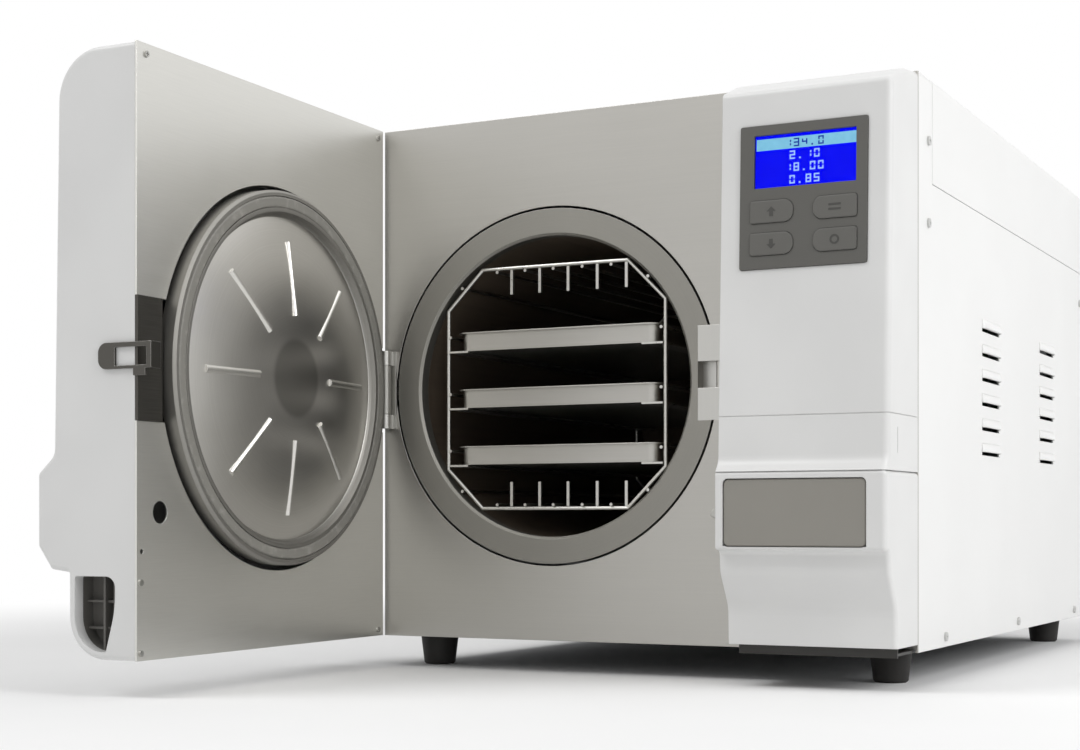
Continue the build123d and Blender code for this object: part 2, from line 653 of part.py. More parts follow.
def door_profile(wall):
    """The door's side outline behind its inner plate, as (depth, height) points, drawn in by a wall."""
    face = -DOOR_FACE_Y
    return [
        (face + 1.5 - wall, DOOR_TOP - wall),
        (face + 70.0 - wall, DOOR_TOP - wall),
        (face + 74.5 - wall, LEDGE_Z + 8 - wall * 0.45),
        (face + 89.0 - wall, LEDGE_Z - 5 - wall * 0.45),
        (face + 89.0 - wall, BASE_Z + 80 + wall * 0.33),
        (face + 77.0 - wall * 0.55, BASE_Z + 63.5 + wall * 0.94),
        (face + 61.0 - wall, BASE_Z + 61.5 + wall * 0.88),
        (face + 60.5 - wall, DOOR_BOTTOM + wall),
        (face + 1.5 - wall, DOOR_BOTTOM + wall),
    ]


GRIP_TOP = BASE_Z + 59.0
GRIP_LOW = BASE_Z + 6.0
GRIP_LIP = 9.0
GRIP_DEPTH = 22.0
LINER = 1.8
NOTCH_LOW = BASE_Z + 167.6
NOTCH_HIGH = BASE_Z + 255.0


def grip_block(x0, x1, grow):
    """The space that the fingers reach into, between two distances from the hinge, wider by grow."""
    face = -DOOR_FACE_Y
    outline = [
        (face + 54.5, GRIP_TOP),
        (face + 18.8, GRIP_TOP),
        (face + 18.8, BASE_Z + 36),
        (face + 27.0, GRIP_LOW),
        (face + 54.5, GRIP_LOW),
    ]
    mouth = side_face(outline, [2, 8, 80, 2, 24])
    if grow:
        mouth = offset(mouth, amount=grow)
    return Pos(x0, 0, 0) * along_x(mouth, x1 - x0)


def door_shell():
    width = DOOR_RIGHT - DOOR_LEFT
    radii = [0, 36, 10, 4, 5, 3, 1.5, 30, 0]
    outer = Pos(DOOR_LEFT, 0, 0) * along_x(side_face(door_profile(0), radii), width)
    rim = [e for e in outer.edges() if abs(e.center().X - DOOR_RIGHT) < 0.1 and -e.center().Y > 30]
    outer = fillet(rim, 4)
    inner_radii = [0, 36 - SKIN, 10, 1, 2, 1, 3, 30 - SKIN, 0]
    inner = along_x(side_face(door_profile(SKIN), inner_radii), width - 2 * SKIN)
    shell = outer - Pos(DOOR_LEFT + SKIN, 0, 0) * inner
    shell = together([shell, grip_block(DOOR_RIGHT - GRIP_LIP, DOOR_RIGHT - 1, 2.0)])
    shell -= grip_block(DOOR_RIGHT - GRIP_LIP - 1, DOOR_RIGHT + 1, 0)
    shell -= box(DOOR_LEFT - 1, DOOR_LEFT + SKIN + 1, YOKE_BACK - 2, DOOR_FACE_Y, HINGE_LOW - 1, HINGE_HIGH + 1)
    return shell


def grip_liner():
    back = DOOR_RIGHT - GRIP_DEPTH
    front = DOOR_RIGHT - GRIP_LIP
    cup = grip_block(back, front, LINER) - grip_block(back + LINER, front + 1, 0)
    face_y = DOOR_FACE_Y
    ribs = []
    for z in (BASE_Z + 41.0, BASE_Z + 22.0):
        ribs.append(box(back + 1, back + 8, face_y - 56, face_y - 17, z - 0.9, z + 0.9))
    for y in (face_y - 37.0, face_y - 28.0):
        ribs.append(box(back + 1, back + 11, y - 0.9, y + 0.9, GRIP_LOW - 1, GRIP_TOP + 1))
    inside = grip_block(back, front, LINER * 0.5)
    return together([cup] + [rib & inside for rib in ribs])


YOKE_BACK = DOOR_FACE_Y - 20
YOKE_FRONT = DOOR_FACE_Y - 7
LIP_BACK = DOOR_FACE_Y - 1.4
LIP_FRONT = DOOR_FACE_Y + 1.0


def yoke_bar():
    """The steel bar across the door that carries the lid, from its hinge knuckle to its latch tongue."""
    bar = box(DOOR_LEFT + SKIN + 0.3, 326.5, YOKE_BACK, YOKE_FRONT, NOTCH_LOW, NOTCH_HIGH)
    tongue = box(306.5, DOOR_RIGHT - SKIN - 0.3, YOKE_BACK + 8, LIP_BACK + 0.2, NOTCH_LOW, NOTCH_HIGH)
    lip = box(306.5, DOOR_RIGHT, LIP_BACK, LIP_FRONT, NOTCH_LOW, NOTCH_HIGH)
    low = HINGE_LOW + KNUCKLE + 0.3
    high = HINGE_HIGH - KNUCKLE - 0.3
    knuckle = rod((HINGE_X, HINGE_Y, low), (HINGE_X, HINGE_Y, high), HINGE_BARREL_R)
    neck = box(HINGE_X - 1, HINGE_X + 4, YOKE_FRONT - 6, HINGE_Y, low, high)
    spindle = rod((CHAMBER_X, YOKE_FRONT, CHAMBER_Z), (CHAMBER_X, DOOR_FACE_Y + 4, CHAMBER_Z), SPINDLE_R)
    solid = together([bar, tongue, lip, neck, knuckle, spindle])
    return solid - rod((HINGE_X, HINGE_Y, low - 1), (HINGE_X, HINGE_Y, high + 1), HINGE_PIN_R + RUNNING)


def latch_loop():
    """A strap past the door's free edge, with a window for the lock bolt and a tooth at its end."""
    x0, x1 = DOOR_RIGHT + 0.3, DOOR_RIGHT + 2.2
    y_back = DOOR_FACE_Y + 14
    y_front = DOOR_FACE_Y - 32
    strap = box(x0, x1, y_front, y_back, LOOP_LOW, LOOP_HIGH)
    front_corners = strap.edges().filter_by(Axis.X).group_by(Axis.Y)[0]
    strap = fillet(front_corners, 7)
    window_low, window_high = LOOP_LOW + 2.2, LOOP_HIGH - 3.4
    strap -= box(x0 - 1, x1 + 1, DOOR_FACE_Y - 17.5, DOOR_FACE_Y + 10, window_low, window_high)
    tooth = box(x0 - 9, x1, y_back - 3, y_back, LOOP_LOW, LOOP_HIGH)
    foot = box(DOOR_RIGHT, x1, LIP_BACK, DOOR_FACE_Y + 9, LOOP_LOW - 5, window_low)
    shoulder = box(DOOR_RIGHT, x1, LIP_BACK, LIP_FRONT, window_high, LOOP_HIGH)
    return together([strap, tooth, foot, shoulder])


INNER_SCREW_SPOTS = [
    (DOOR_RIGHT - 4.4, BASE_Z + 5.6),
    (DOOR_RIGHT - 4.4, BASE_Z + 55.0),
    (DOOR_RIGHT - 10.5, BASE_Z + 424.0),
    (DOOR_LEFT + 8.0, BASE_Z + 5.6),
    (DOOR_LEFT + 8.0, BASE_Z + 424.0),
]
HATCH_R = 8.0
LID_HOLE_R = 149.0


def door_inner_plates():
    """The steel lining of the door: an upper and a lower sheet, parted by the yoke."""
    y0, y1 = DOOR_FACE_Y - 1.5, DOOR_FACE_Y
    plate = box(DOOR_LEFT, DOOR_RIGHT, y0, y1, DOOR_BOTTOM, DOOR_TOP)
    plate -= rod((CHAMBER_X, y0 - 1, CHAMBER_Z), (CHAMBER_X, y1 + 1, CHAMBER_Z), LID_HOLE_R)
    plate -= box(300, DOOR_RIGHT + 1, y0 - 1, y1 + 1, NOTCH_LOW, NOTCH_HIGH)
    plate -= rod((PLUNGER_X, y0 - 1, PLUNGER_Z), (PLUNGER_X, y1 + 1, PLUNGER_Z), HATCH_R)
    plate -= rod((DOOR_RIGHT - 5.5, y0 - 1, BASE_Z + 76.6), (DOOR_RIGHT - 5.5, y1 + 1, BASE_Z + 76.6), 1.75)
    plate -= box(DOOR_LEFT - 1, 13, y0 - 1, y1 + 1, HINGE_LOW - 3, HINGE_HIGH + 3)
    return plate


def door_screws():
    heads = []
    for x, z in INNER_SCREW_SPOTS:
        head = rod((x, DOOR_FACE_Y, z), (x, DOOR_FACE_Y + 1.2, z), 2.3)
        head -= box(x - 1.5, x + 1.5, DOOR_FACE_Y + 0.6, DOOR_FACE_Y + 2, z - 0.3, z + 0.3)
        head -= box(x - 0.3, x + 0.3, DOOR_FACE_Y + 0.6, DOOR_FACE_Y + 2, z - 1.5, z + 1.5)
        heads.append(head.solid())
    return Compound(children=heads)


DISH_R = 125.0
DISH_TOP = 17.0
DISH_EDGE = 4.5
GROOVE = (131.5, 140.5, 5.0)
RIB_COUNT = 8


def dish_height(r):
    """Height of the dished face above the door's inner plate at a radius."""
    return DISH_TOP - (DISH_TOP - DISH_EDGE) * (r / DISH_R) ** 2


def lid_disc():
    back = -3.5
    skin = 4.0
    lines = Polyline(
        (DISH_R, DISH_EDGE),
        (127, 6.5),
        (128.5, LID_FRONT),
        (GROOVE[0], LID_FRONT),
        (GROOVE[0], GROOVE[2]),
        (GROOVE[1], GROOVE[2]),
        (GROOVE[1], LID_FRONT),
        (LID_R - 2, LID_FRONT),
        (LID_R, LID_FRONT - 2),
        (LID_R, back),
        (LID_R - 16, back),
        (DISH_R, DISH_EDGE - skin),
    )
    under = ThreePointArc((DISH_R, DISH_EDGE - skin), (60, dish_height(60) - skin), (0, DISH_TOP - skin))
    axis = Line((0, DISH_TOP - skin), (0, DISH_TOP))
    dish = ThreePointArc((0, DISH_TOP), (60, dish_height(60)), (DISH_R, DISH_EDGE))
    disc = revolve(make_face([lines, under, axis, dish]), Axis.Y, 360)
    hub = Rot(-90, 0, 0) * extrude(Circle(20), 15 - back)
    hub = Pos(0, back, 0) * hub
    ribs = []
    for turn in range(RIB_COUNT):
        start = Vector(48, dish_height(48) - 0.9, 0)
        end = Vector(106, dish_height(106) - 0.9, 0)
        bar = rod(tuple(start), tuple(end), 3.0)
        ribs.append(Rot(0, 360 * turn / RIB_COUNT, 0) * bar)
    lid = together([disc, hub] + ribs)
    bore = Rot(-90, 0, 0) * extrude(Circle(SPINDLE_R + RUNNING), 12)
    lid -= Pos(0, back - 1, 0) * bore
    return Pos(CHAMBER_X, DOOR_FACE_Y, CHAMBER_Z) * lid


def lid_gasket():
    outline = FilletPolyline(
        (GROOVE[0], GROOVE[2]),
        (GROOVE[1], GROOVE[2]),
        (GROOVE[1], LID_FRONT + 0.5),
        (GROOVE[0], LID_FRONT + 0.5),
        radius=[0, 0, 2, 2],
        close=True,
    )
    ring = revolve(make_face(outline), Axis.Y, 360)
    return Pos(CHAMBER_X, DOOR_FACE_Y, CHAMBER_Z) * ring


# Rack and trays
RACK_HALF = 100.0
RACK_CHAMFER = 33.0
RACK_FRONT = 7.0
RACK_LENGTH = 384.0
WIRE_R = 1.6
RAIL_R = 1.3
LEDGE_Z_OFFSETS = (32.0, -16.0, -64.0)
LEDGE_WIDTH = 20.0
DIVIDER_OFFSETS = (-39.0, -12.7, 13.5, 40.0, 66.0)
DIVIDER_LENGTH = 22.0


def octagon_points(y):
    h = RACK_HALF
    c = RACK_HALF - RACK_CHAMFER
    ring = [(-c, h), (c, h), (h, c), (h, -c), (c, -h), (-c, -h), (-h, -c), (-h, c)]
    return [Vector(CHAMBER_X + x, y, CHAMBER_Z + z) for x, z in ring]


def mitred_ring(y):
    """Eight straight wires in an octagon, mitred where they meet."""
    points = octagon_points(y)
    count = len(points)
    overrun = 3.0
    wires = []
    for number, start in enumerate(points):
        end = points[(number + 1) % count]
        way = (end - start).normalized()
        way_before = (start - points[number - 1]).normalized()
        way_after = (points[(number + 2) % count] - end).normalized()
        wire = rod(start - way * overrun, end + way * overrun, WIRE_R)
        wire = split(wire, bisect_by=Plane(origin=start, z_dir=way_before + way), keep=Keep.TOP)
        wire = split(wire, bisect_by=Plane(origin=end, z_dir=way + way_after), keep=Keep.BOTTOM)
        wires.append(wire.solid())
    return wires


def rack_frames():
    """The front and the rear octagon, with the short divider pins on the front one."""
    solids = mitred_ring(RACK_FRONT) + mitred_ring(RACK_FRONT + RACK_LENGTH)
    y0, y1 = RACK_FRONT - 1.2, RACK_FRONT + 1.2
    for x_offset in DIVIDER_OFFSETS:
        x = CHAMBER_X + x_offset
        for way in (-1, 1):
            edge = CHAMBER_Z + way * (RACK_HALF - WIRE_R)
            tip = CHAMBER_Z + way * (RACK_HALF - DIVIDER_LENGTH)
            solids.append(box(x - 1.2, x + 1.2, y0, y1, min(edge, tip), max(edge, tip)).solid())
    return Compound(children=solids)


def rack_rails():
    """The long wires and the ledge strips that join the two octagons."""
    y0, y1 = RACK_FRONT - 2.5, RACK_FRONT + RACK_LENGTH + 2.5
    inside = RACK_HALF - WIRE_R - RAIL_R
    corner = RACK_HALF - RACK_CHAMFER / 2 + (WIRE_R + RAIL_R) / 2**0.5
    spots = []
    for way in (-1, 1):
        spots += [(x_offset - 13, way * inside) for x_offset in DIVIDER_OFFSETS]
        spots += [(way * corner, corner), (way * corner, -corner)]
        spots += [(way * inside, z_offset + 12.5) for z_offset in LEDGE_Z_OFFSETS]
    solids = []
    for x_offset, z_offset in spots:
        x, z = CHAMBER_X + x_offset, CHAMBER_Z + z_offset
        solids.append(rod((x, y0, z), (x, y1, z), RAIL_R).solid())
    for z_offset in LEDGE_Z_OFFSETS:
        z = CHAMBER_Z + z_offset
        for way in (-1, 1):
            outer = CHAMBER_X + way * (RACK_HALF - WIRE_R)
            inner = CHAMBER_X + way * (RACK_HALF - LEDGE_WIDTH)
            solids.append(box(min(outer, inner), max(outer, inner), y0, y1, z - 0.8, z + 0.8).solid())
    return Compound(children=solids)


TRAY_WIDTH = 182.0
TRAY_HEIGHT = 15.5
TRAY_LENGTH = 372.0
TRAY_WALL = 1.0
TRAY_LIP = 3.5


def tray(ledge_offset):
    bottom = CHAMBER_Z + ledge_offset + 0.8 + 0.3
    top = bottom + TRAY_HEIGHT
    x0, x1 = CHAMBER_X - TRAY_WIDTH / 2, CHAMBER_X + TRAY_WIDTH / 2
    y0 = RACK_FRONT + 4.0
    y1 = y0 + TRAY_LENGTH
    dish = box(x0, x1, y0, y1, bottom, top)
    dish = fillet(dish.edges().filter_by(Axis.Z), 8)
    hollow = box(x0 + TRAY_WALL, x1 - TRAY_WALL, y0 + TRAY_WALL, y1 - TRAY_WALL, bottom + TRAY_WALL, top + 5)
    hollow = fillet(hollow.edges().filter_by(Axis.Z), 7)
    lip = box(x0 - TRAY_LIP, x1 + TRAY_LIP, y0 - TRAY_LIP, y1 + TRAY_LIP, top - TRAY_WALL, top)
    lip = fillet(lip.edges().filter_by(Axis.Z), 11)
    return together([dish, lip]) - hollow


# Works inside the casing
BAY_LEFT = 318.0
BAY_RIGHT = 458.0
FLOOR_Z = BASE_Z + PLATE


def steam_generator():
    x, y, r = 390.0, 520.0, 44.0
    pot = rod((x, y, FLOOR_Z + 8), (x, y, FLOOR_Z + 140), r)
    pot = fillet(pot.edges().filter_by(GeomType.CIRCLE), 10)
    skirt = tube((x, y, FLOOR_Z), (x, y, FLOOR_Z + 22), 38, 30)
    outlet = rod((x, y, FLOOR_Z + 138), (x, y, FLOOR_Z + 152), 9)
    return together([pot, skirt, outlet])


def vacuum_pump():
    base = box(330, 450, 330, 440, FLOOR_Z, FLOOR_Z + 6)
    head = box(338, 388, 345, 425, FLOOR_Z + 6, FLOOR_Z + 86)
    head = fillet(head.edges().filter_by(Axis.Z), 6)
    motor = rod((386, 385, FLOOR_Z + 46), (448, 385, FLOOR_Z + 46), 36)
    rest = box(395, 440, 360, 410, FLOOR_Z + 5, FLOOR_Z + 20)
    return together([base, head, motor, rest])


def clean_water_tank():
    outer = box(BAY_LEFT, BAY_RIGHT, 470, 612, BASE_Z + 240, TOP_Z - 40)
    outer = fillet(outer.edges(), 8)
    inner = box(BAY_LEFT + 3, BAY_RIGHT - 3, 473, 609, BASE_Z + 243, TOP_Z - 43)
    inner = fillet(inner.edges(), 5)
    neck_x, neck_y = sum(TANK_HOLE_X) / 2, sum(TANK_HOLE_Y) / 2
    neck = tube((neck_x, neck_y, TOP_Z - 42), (neck_x, neck_y, TOP_Z - 6), 38, 34)
    mouth = rod((neck_x, neck_y, TOP_Z - 60), (neck_x, neck_y, TOP_Z - 5), 34)
    bracket = box(BAY_RIGHT - 1, BODY_WIDTH - 2 * SHEET, 500, 580, BASE_Z + 300, BASE_Z + 330)
    return together([outer - inner - mouth, neck, bracket])


def waste_water_tank():
    outer = box(BAY_LEFT, BAY_RIGHT, 300, 462, BASE_Z + 120, BASE_Z + 230)
    outer = fillet(outer.edges(), 8)
    inner = box(BAY_LEFT + 3, BAY_RIGHT - 3, 303, 459, BASE_Z + 123, BASE_Z + 227)
    bracket = box(BAY_RIGHT - 1, BODY_WIDTH - SHEET, 340, 400, BASE_Z + 160, BASE_Z + 200)
    return together([outer - inner, bracket])


def condenser():
    x0, x1 = FAN_X - 62, FAN_X + 62
    y0, y1 = 560.0, 592.0
    shapes = [box(x0, x0 + 2, y0, y1, FLOOR_Z, FAN_Z + 66), box(x1 - 2, x1, y0, y1, FLOOR_Z, FAN_Z + 66)]
    for row in range(6):
        z = FAN_Z - 55 + row * 22
        shapes.append(rod((x0, (y0 + y1) / 2, z), (x1, (y0 + y1) / 2, z), 4))
    fin_count = 19
    pitch = (x1 - x0 - 4) / (fin_count + 1)
    for fin in range(fin_count):
        x = x0 + 2 + pitch * (fin + 1)
        shapes.append(box(x - 0.4, x + 0.4, y0 + 2, y1 - 2, FAN_Z - 62, FAN_Z + 62))
    return together(shapes)


def solenoid_valves():
    block = box(200, 300, 485, 525, FLOOR_Z, FLOOR_Z + 34)
    shapes = [block]
    for number in range(4):
        x = 212 + number * 25.0
        shapes.append(rod((x, 505, FLOOR_Z + 33), (x, 505, FLOOR_Z + 66), 9.5))
        shapes.append(rod((x, 505, FLOOR_Z + 66), (x, 505, FLOOR_Z + 74), 4))
    return together(shapes)


def safety_valve():
    rear = BODY_DEPTH - SHEET
    body = rod((VALVE_X, rear - 40, VALVE_Z), (VALVE_X, BODY_DEPTH + 4, VALVE_Z), 8)
    nut = Plane(origin=(VALVE_X, rear - 8, VALVE_Z), z_dir=(0, 1, 0)) * extrude(RegularPolygon(13, 6), 8)
    cap = rod((VALVE_X, BODY_DEPTH + 4, VALVE_Z), (VALVE_X, BODY_DEPTH + 20, VALVE_Z), 10)
    return together([body, nut, cap])


def air_filter():
    y = BODY_DEPTH
    stem = rod((FILTER_X, y - 12, FILTER_Z), (FILTER_X, y + 4, FILTER_Z), 6)
    flange = rod((FILTER_X, y, FILTER_Z), (FILTER_X, y + 4, FILTER_Z), 16)
    disc = rod((FILTER_X, y + 4, FILTER_Z), (FILTER_X, y + 32, FILTER_Z), 29)
    disc = fillet(disc.edges().filter_by(GeomType.CIRCLE), 5)
    return together([stem, flange, disc])


def main_board():
    face_x = 448.0
    board = box(face_x, face_x + 1.6, 60, 280, BASE_Z + 190, BASE_Z + 340)
    shapes = [board]
    for y in (66.0, 274.0):
        for z in (BASE_Z + 196.0, BASE_Z + 334.0):
            shapes.append(rod((face_x + 1, y, z), (BODY_WIDTH - SHEET, y, z), 3))
    for y, z, width, height, tall in (
        (90.0, 215.0, 40.0, 28.0, 18.0),
        (150.0, 215.0, 30.0, 30.0, 14.0),
        (210.0, 220.0, 26.0, 40.0, 22.0),
        (100.0, 280.0, 34.0, 34.0, 5.0),
        (170.0, 285.0, 48.0, 20.0, 10.0),
        (235.0, 290.0, 20.0, 50.0, 9.0),
    ):
        shapes.append(box(face_x - tall, face_x + 0.5, y, y + width, BASE_Z + z, BASE_Z + z + height))
    return together(shapes)


def power_supply():
    case = box(340, 446, 40, 240, FLOOR_Z, FLOOR_Z + 52)
    slots = []
    for number in range(12):
        y = 60 + number * 14.0
        slots.append(box(350, 436, y, y + 5, FLOOR_Z + 50, FLOOR_Z + 53))
    return case.cut(*slots)


ROCKER_Y = BODY_DEPTH - 4.0


def power_inlet():
    """One moulded unit: the socket for the mains connector and the frame of the switch beside it."""
    y = BODY_DEPTH
    frame = box(SWITCH_X - 14, INLET_X + 19, y, y + 2.5, SWITCH_Z - 17, SWITCH_Z + 17)
    socket = box(INLET_X - 14, INLET_X + 14, y - 26, y + 1, INLET_Z - 10, INLET_Z + 10)
    switch = box(SWITCH_X - 11, SWITCH_X + 11, y - 26, y + 1, SWITCH_Z - 14, SWITCH_Z + 14)
    socket_well = box(INLET_X - 12, INLET_X + 12, y - 18, y + 3, INLET_Z - 8, INLET_Z + 8)
    switch_well = box(SWITCH_X - 9, SWITCH_X + 9, y - 16, y + 3, SWITCH_Z - 12, SWITCH_Z + 12)
    unit = frame + socket + switch - socket_well - switch_well
    axle = rod((SWITCH_X - 10, ROCKER_Y, SWITCH_Z), (SWITCH_X + 10, ROCKER_Y, SWITCH_Z), PIN_R)
    inside = [axle]
    for x_offset, z_offset in ((-7.0, -2.0), (7.0, -2.0), (0.0, 3.0)):
        x, z = INLET_X + x_offset, INLET_Z + z_offset
        inside.append(box(x - 1, x + 1, y - 19, y - 4, z - 2, z + 2))
    return together([unit] + inside)


def mains_rocker():
    x0, x1 = SWITCH_X - 8.6, SWITCH_X + 8.6
    y = ROCKER_Y
    outline = [(y - 5, -6), (y + 6.0, -11), (y + 8.5, -11), (y + 4.5, 0), (y + 8.5, 11), (y + 6.0, 11), (y - 5, 6)]
    points = [(0, depth, SWITCH_Z + height) for depth, height in outline]
    lobe = Pos(x0, 0, 0) * along_x(make_face(Polyline(*points, close=True)), x1 - x0)
    lobe -= rod((x0 - 1, y, SWITCH_Z), (x1 + 1, y, SWITCH_Z), PIN_R + RUNNING)
    return Pos(0, y, SWITCH_Z) * Rot(-7, 0, 0) * Pos(0, -y, -SWITCH_Z) * lobe


def drain_ports():
    ports = []
    for x in DRAIN_X:
        rear = BODY_DEPTH - SHEET
        stem = tube((x, rear - 14, DRAIN_Z), (x, BODY_DEPTH + 22, DRAIN_Z), 6, 3)
        nut = Plane(origin=(x, BODY_DEPTH, DRAIN_Z), z_dir=(0, 1, 0)) * extrude(RegularPolygon(11, 6), 6)
        nut -= rod((x, BODY_DEPTH - 1, DRAIN_Z), (x, BODY_DEPTH + 8, DRAIN_Z), 5)
        barb = tube((x, BODY_DEPTH + 16, DRAIN_Z), (x, BODY_DEPTH + 19, DRAIN_Z), 7, 5)
        ports.append(together([stem, nut, barb]).solid())
    return Compound(children=ports)


def pipework():
    back = VESSEL_END + 5
    routes = [
        [(390, 520, FLOOR_Z + 152), (390, 520, 205), (235, 520, 205), (235, 520, 290), (235, back, 290)],
        [(90, back, 170), (90, 505, 170), (90, 505, 118), (212, 505, 118), (212, 505, FLOOR_Z + 74)],
        [(287, 505, FLOOR_Z + 74), (287, 505, 125), (287, 400, 125), (310, 400, 90), (338, 400, 90)],
    ]
    pipes = []
    for points in routes:
        pipes.append(bent_pipe(points, 4.0, 9.0).solid())
    return Compound(children=pipes)


BODY_PIECES = {
    "base_pan": base_pan,
    "feet": feet,
    "front_plate": front_plate,
    "right_side_panel": lambda: side_panel(BODY_WIDTH, -1),
    "left_side_panel": lambda: side_panel(0, 1),
    "side_screws": side_screws,
    "top_cover": top_cover,
    "tank_lid": tank_lid,
    "rear_panel": rear_panel,
    "condenser_fan": condenser_fan,
    "chamber_flange": chamber_flange,
    "chamber_vessel": chamber_vessel,
    "heater_bands": heater_bands,
    "insulation_jacket": insulation_jacket,
    "chamber_cradles": chamber_cradles,
    "lock_housing": lock_housing,
    "lock_bolt": lock_bolt,
    "lock_motor": lock_motor,
    "door_plunger": door_plunger,
    "hinge_bracket": hinge_bracket,
    "hinge_pin": hinge_pin,
    "upper_fascia": upper_fascia,
    "lower_fascia": lower_fascia,
    "printer_flap": printer_flap,
    "printer_unit": printer_unit,
    "paper_roll": paper_roll,
    "control_bezel": control_bezel,
    "display_module": display_module,
    "display_window": display_window,
    "key_upper_left": lambda: key(0, 0),
    "key_upper_right": lambda: key(1, 0),
    "key_lower_left": lambda: key(0, 1),
    "key_lower_right": lambda: key(1, 1),
    "rack_frames": rack_frames,
    "rack_rails": rack_rails,
    "tray_top": lambda: tray(LEDGE_Z_OFFSETS[0]),
    "tray_middle": lambda: tray(LEDGE_Z_OFFSETS[1]),
    "tray_bottom": lambda: tray(LEDGE_Z_OFFSETS[2]),
    "steam_generator": steam_generator,
    "vacuum_pump": vacuum_pump,
    "clean_water_tank": clean_water_tank,
    "waste_water_tank": waste_water_tank,
    "condenser": condenser,
    "solenoid_valves": solenoid_valves,
    "safety_valve": safety_valve,
    "air_filter": air_filter,
    "main_board": main_board,
    "power_supply": power_supply,
    "power_inlet": power_inlet,
    "mains_rocker": mains_rocker,
    "drain_ports": drain_ports,
    "pipework": pipework,
}

DOOR_PIECES = {
    "door_shell": door_shell,
    "grip_liner": grip_liner,
    "door_inner_plates": door_inner_plates,
    "door_screws": door_screws,
    "yoke_bar": yoke_bar,
    "latch_loop": latch_loop,
    "lid_disc": lid_disc,
    "lid_gasket": lid_gasket,
}

place = Pos(-ORIGIN_X, -ORIGIN_Y, 0)
for name, make in BODY_PIECES.items():
    export_step(place * make(), f"parts/{name}.step")
for name, make in DOOR_PIECES.items():
    export_step(place * open_door(make()), f"parts/{name}.step")
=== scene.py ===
"""The looks of a bench-top steam autoclave with its door open, built round its construction."""

import math
import bmesh
import bpy
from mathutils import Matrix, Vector


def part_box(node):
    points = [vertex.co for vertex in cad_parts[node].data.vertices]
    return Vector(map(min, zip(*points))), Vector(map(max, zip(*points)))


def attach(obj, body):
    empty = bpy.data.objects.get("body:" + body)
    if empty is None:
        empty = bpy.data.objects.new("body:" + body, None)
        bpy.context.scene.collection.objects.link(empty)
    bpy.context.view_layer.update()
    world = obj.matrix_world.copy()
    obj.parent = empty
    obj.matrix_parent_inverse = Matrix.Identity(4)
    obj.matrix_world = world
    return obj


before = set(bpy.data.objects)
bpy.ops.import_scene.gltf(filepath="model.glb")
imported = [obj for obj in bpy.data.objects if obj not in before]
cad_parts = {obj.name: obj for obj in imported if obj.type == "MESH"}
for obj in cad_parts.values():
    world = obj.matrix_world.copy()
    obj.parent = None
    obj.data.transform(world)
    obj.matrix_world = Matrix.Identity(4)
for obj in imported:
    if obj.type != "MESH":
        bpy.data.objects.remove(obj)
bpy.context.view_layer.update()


# Front plate: a 2 mm stainless sheet, laser cut round the chamber mouth and the lock, with a satin ground
# face. It is screwed to the base pan and carries the hinge, the lock housing and the control column.
MM = 0.001

# How far the light's face turns where an edge's painted highlight starts and is full, as one less the
# cosine.
EDGE_STARTS = 0.02
EDGE_FULL = 0.25


class Field:
    """A number that changes over a surface: plain operators on it add Math nodes."""

    def __init__(self, shading, socket):
        self.shading = shading
        self.socket = socket

    def math(self, operation, *terms):
        made = self.shading.node("ShaderNodeMath", {"operation": operation}, dict(enumerate(terms)))
        return Field(self.shading, made.outputs["Value"])

    def __add__(self, other):
        return self.math("ADD", self, other)

    __radd__ = __add__

    def __sub__(self, other):
        return self.math("SUBTRACT", self, other)

    def __rsub__(self, other):
        return self.math("SUBTRACT", other, self)

    def __mul__(self, other):
        return self.math("MULTIPLY", self, other)

    __rmul__ = __mul__

    def __pow__(self, other):
        return self.math("POWER", self, other)

    def __gt__(self, other):
        return self.math("GREATER_THAN", self, other)

    def __lt__(self, other):
        return self.math("LESS_THAN", self, other)

    def __abs__(self):
        return self.math("ABSOLUTE", self)

    def swing(self, amount):
        """A field of 0 to 1 as a change up and down by half this amount."""
        return (self - 0.5) * amount

    def between(self, low, high):
        """0 at low, 1 at high, eased and held outside."""
        made = self.shading.node(
            "ShaderNodeMapRange",
            {"interpolation_type": "SMOOTHSTEP"},
            {"Value": self, "From Min": low, "From Max": high},
        )
        return Field(self.shading, made.outputs["Result"])


def tone(red, green, blue):
    """A screen colour, 0 to 255, as the light that a surface gives back, by the screen's own curve."""
    parts = [part / 255 for part in (red, green, blue)]
    return [p / 12.92 if p <= 0.04045 else ((p + 0.055) / 1.055) ** 2.4 for p in parts] + [1.0]


def shade(colour, factor, lift=0.0):
    """A darker or lighter colour: each part times the factor, plus the lift, up to full."""
    return [min(1.0, part * factor + lift) for part in colour[:3]] + [1.0]


class Shading:
    """A tree of shader nodes, of a finish or of the studio's surround."""

    def __init__(self, tree):
        self.tree = tree

    def node(self, kind, settings=None, sockets=None):
        """Any node: its settings first, then its sockets' values or links."""
        made = self.tree.nodes.new(kind)
        for name, value in (settings or {}).items():
            setattr(made, name, value)
        for name, value in (sockets or {}).items():
            self.feed(made.inputs[name], value)
        return made

    def feed(self, socket, value):
        """Gives a socket a field, a link or a plain value."""
        if isinstance(value, Field):
            value = value.socket
        if isinstance(value, bpy.types.NodeSocket):
            self.tree.links.new(value, socket)
        else:
            socket.default_value = value


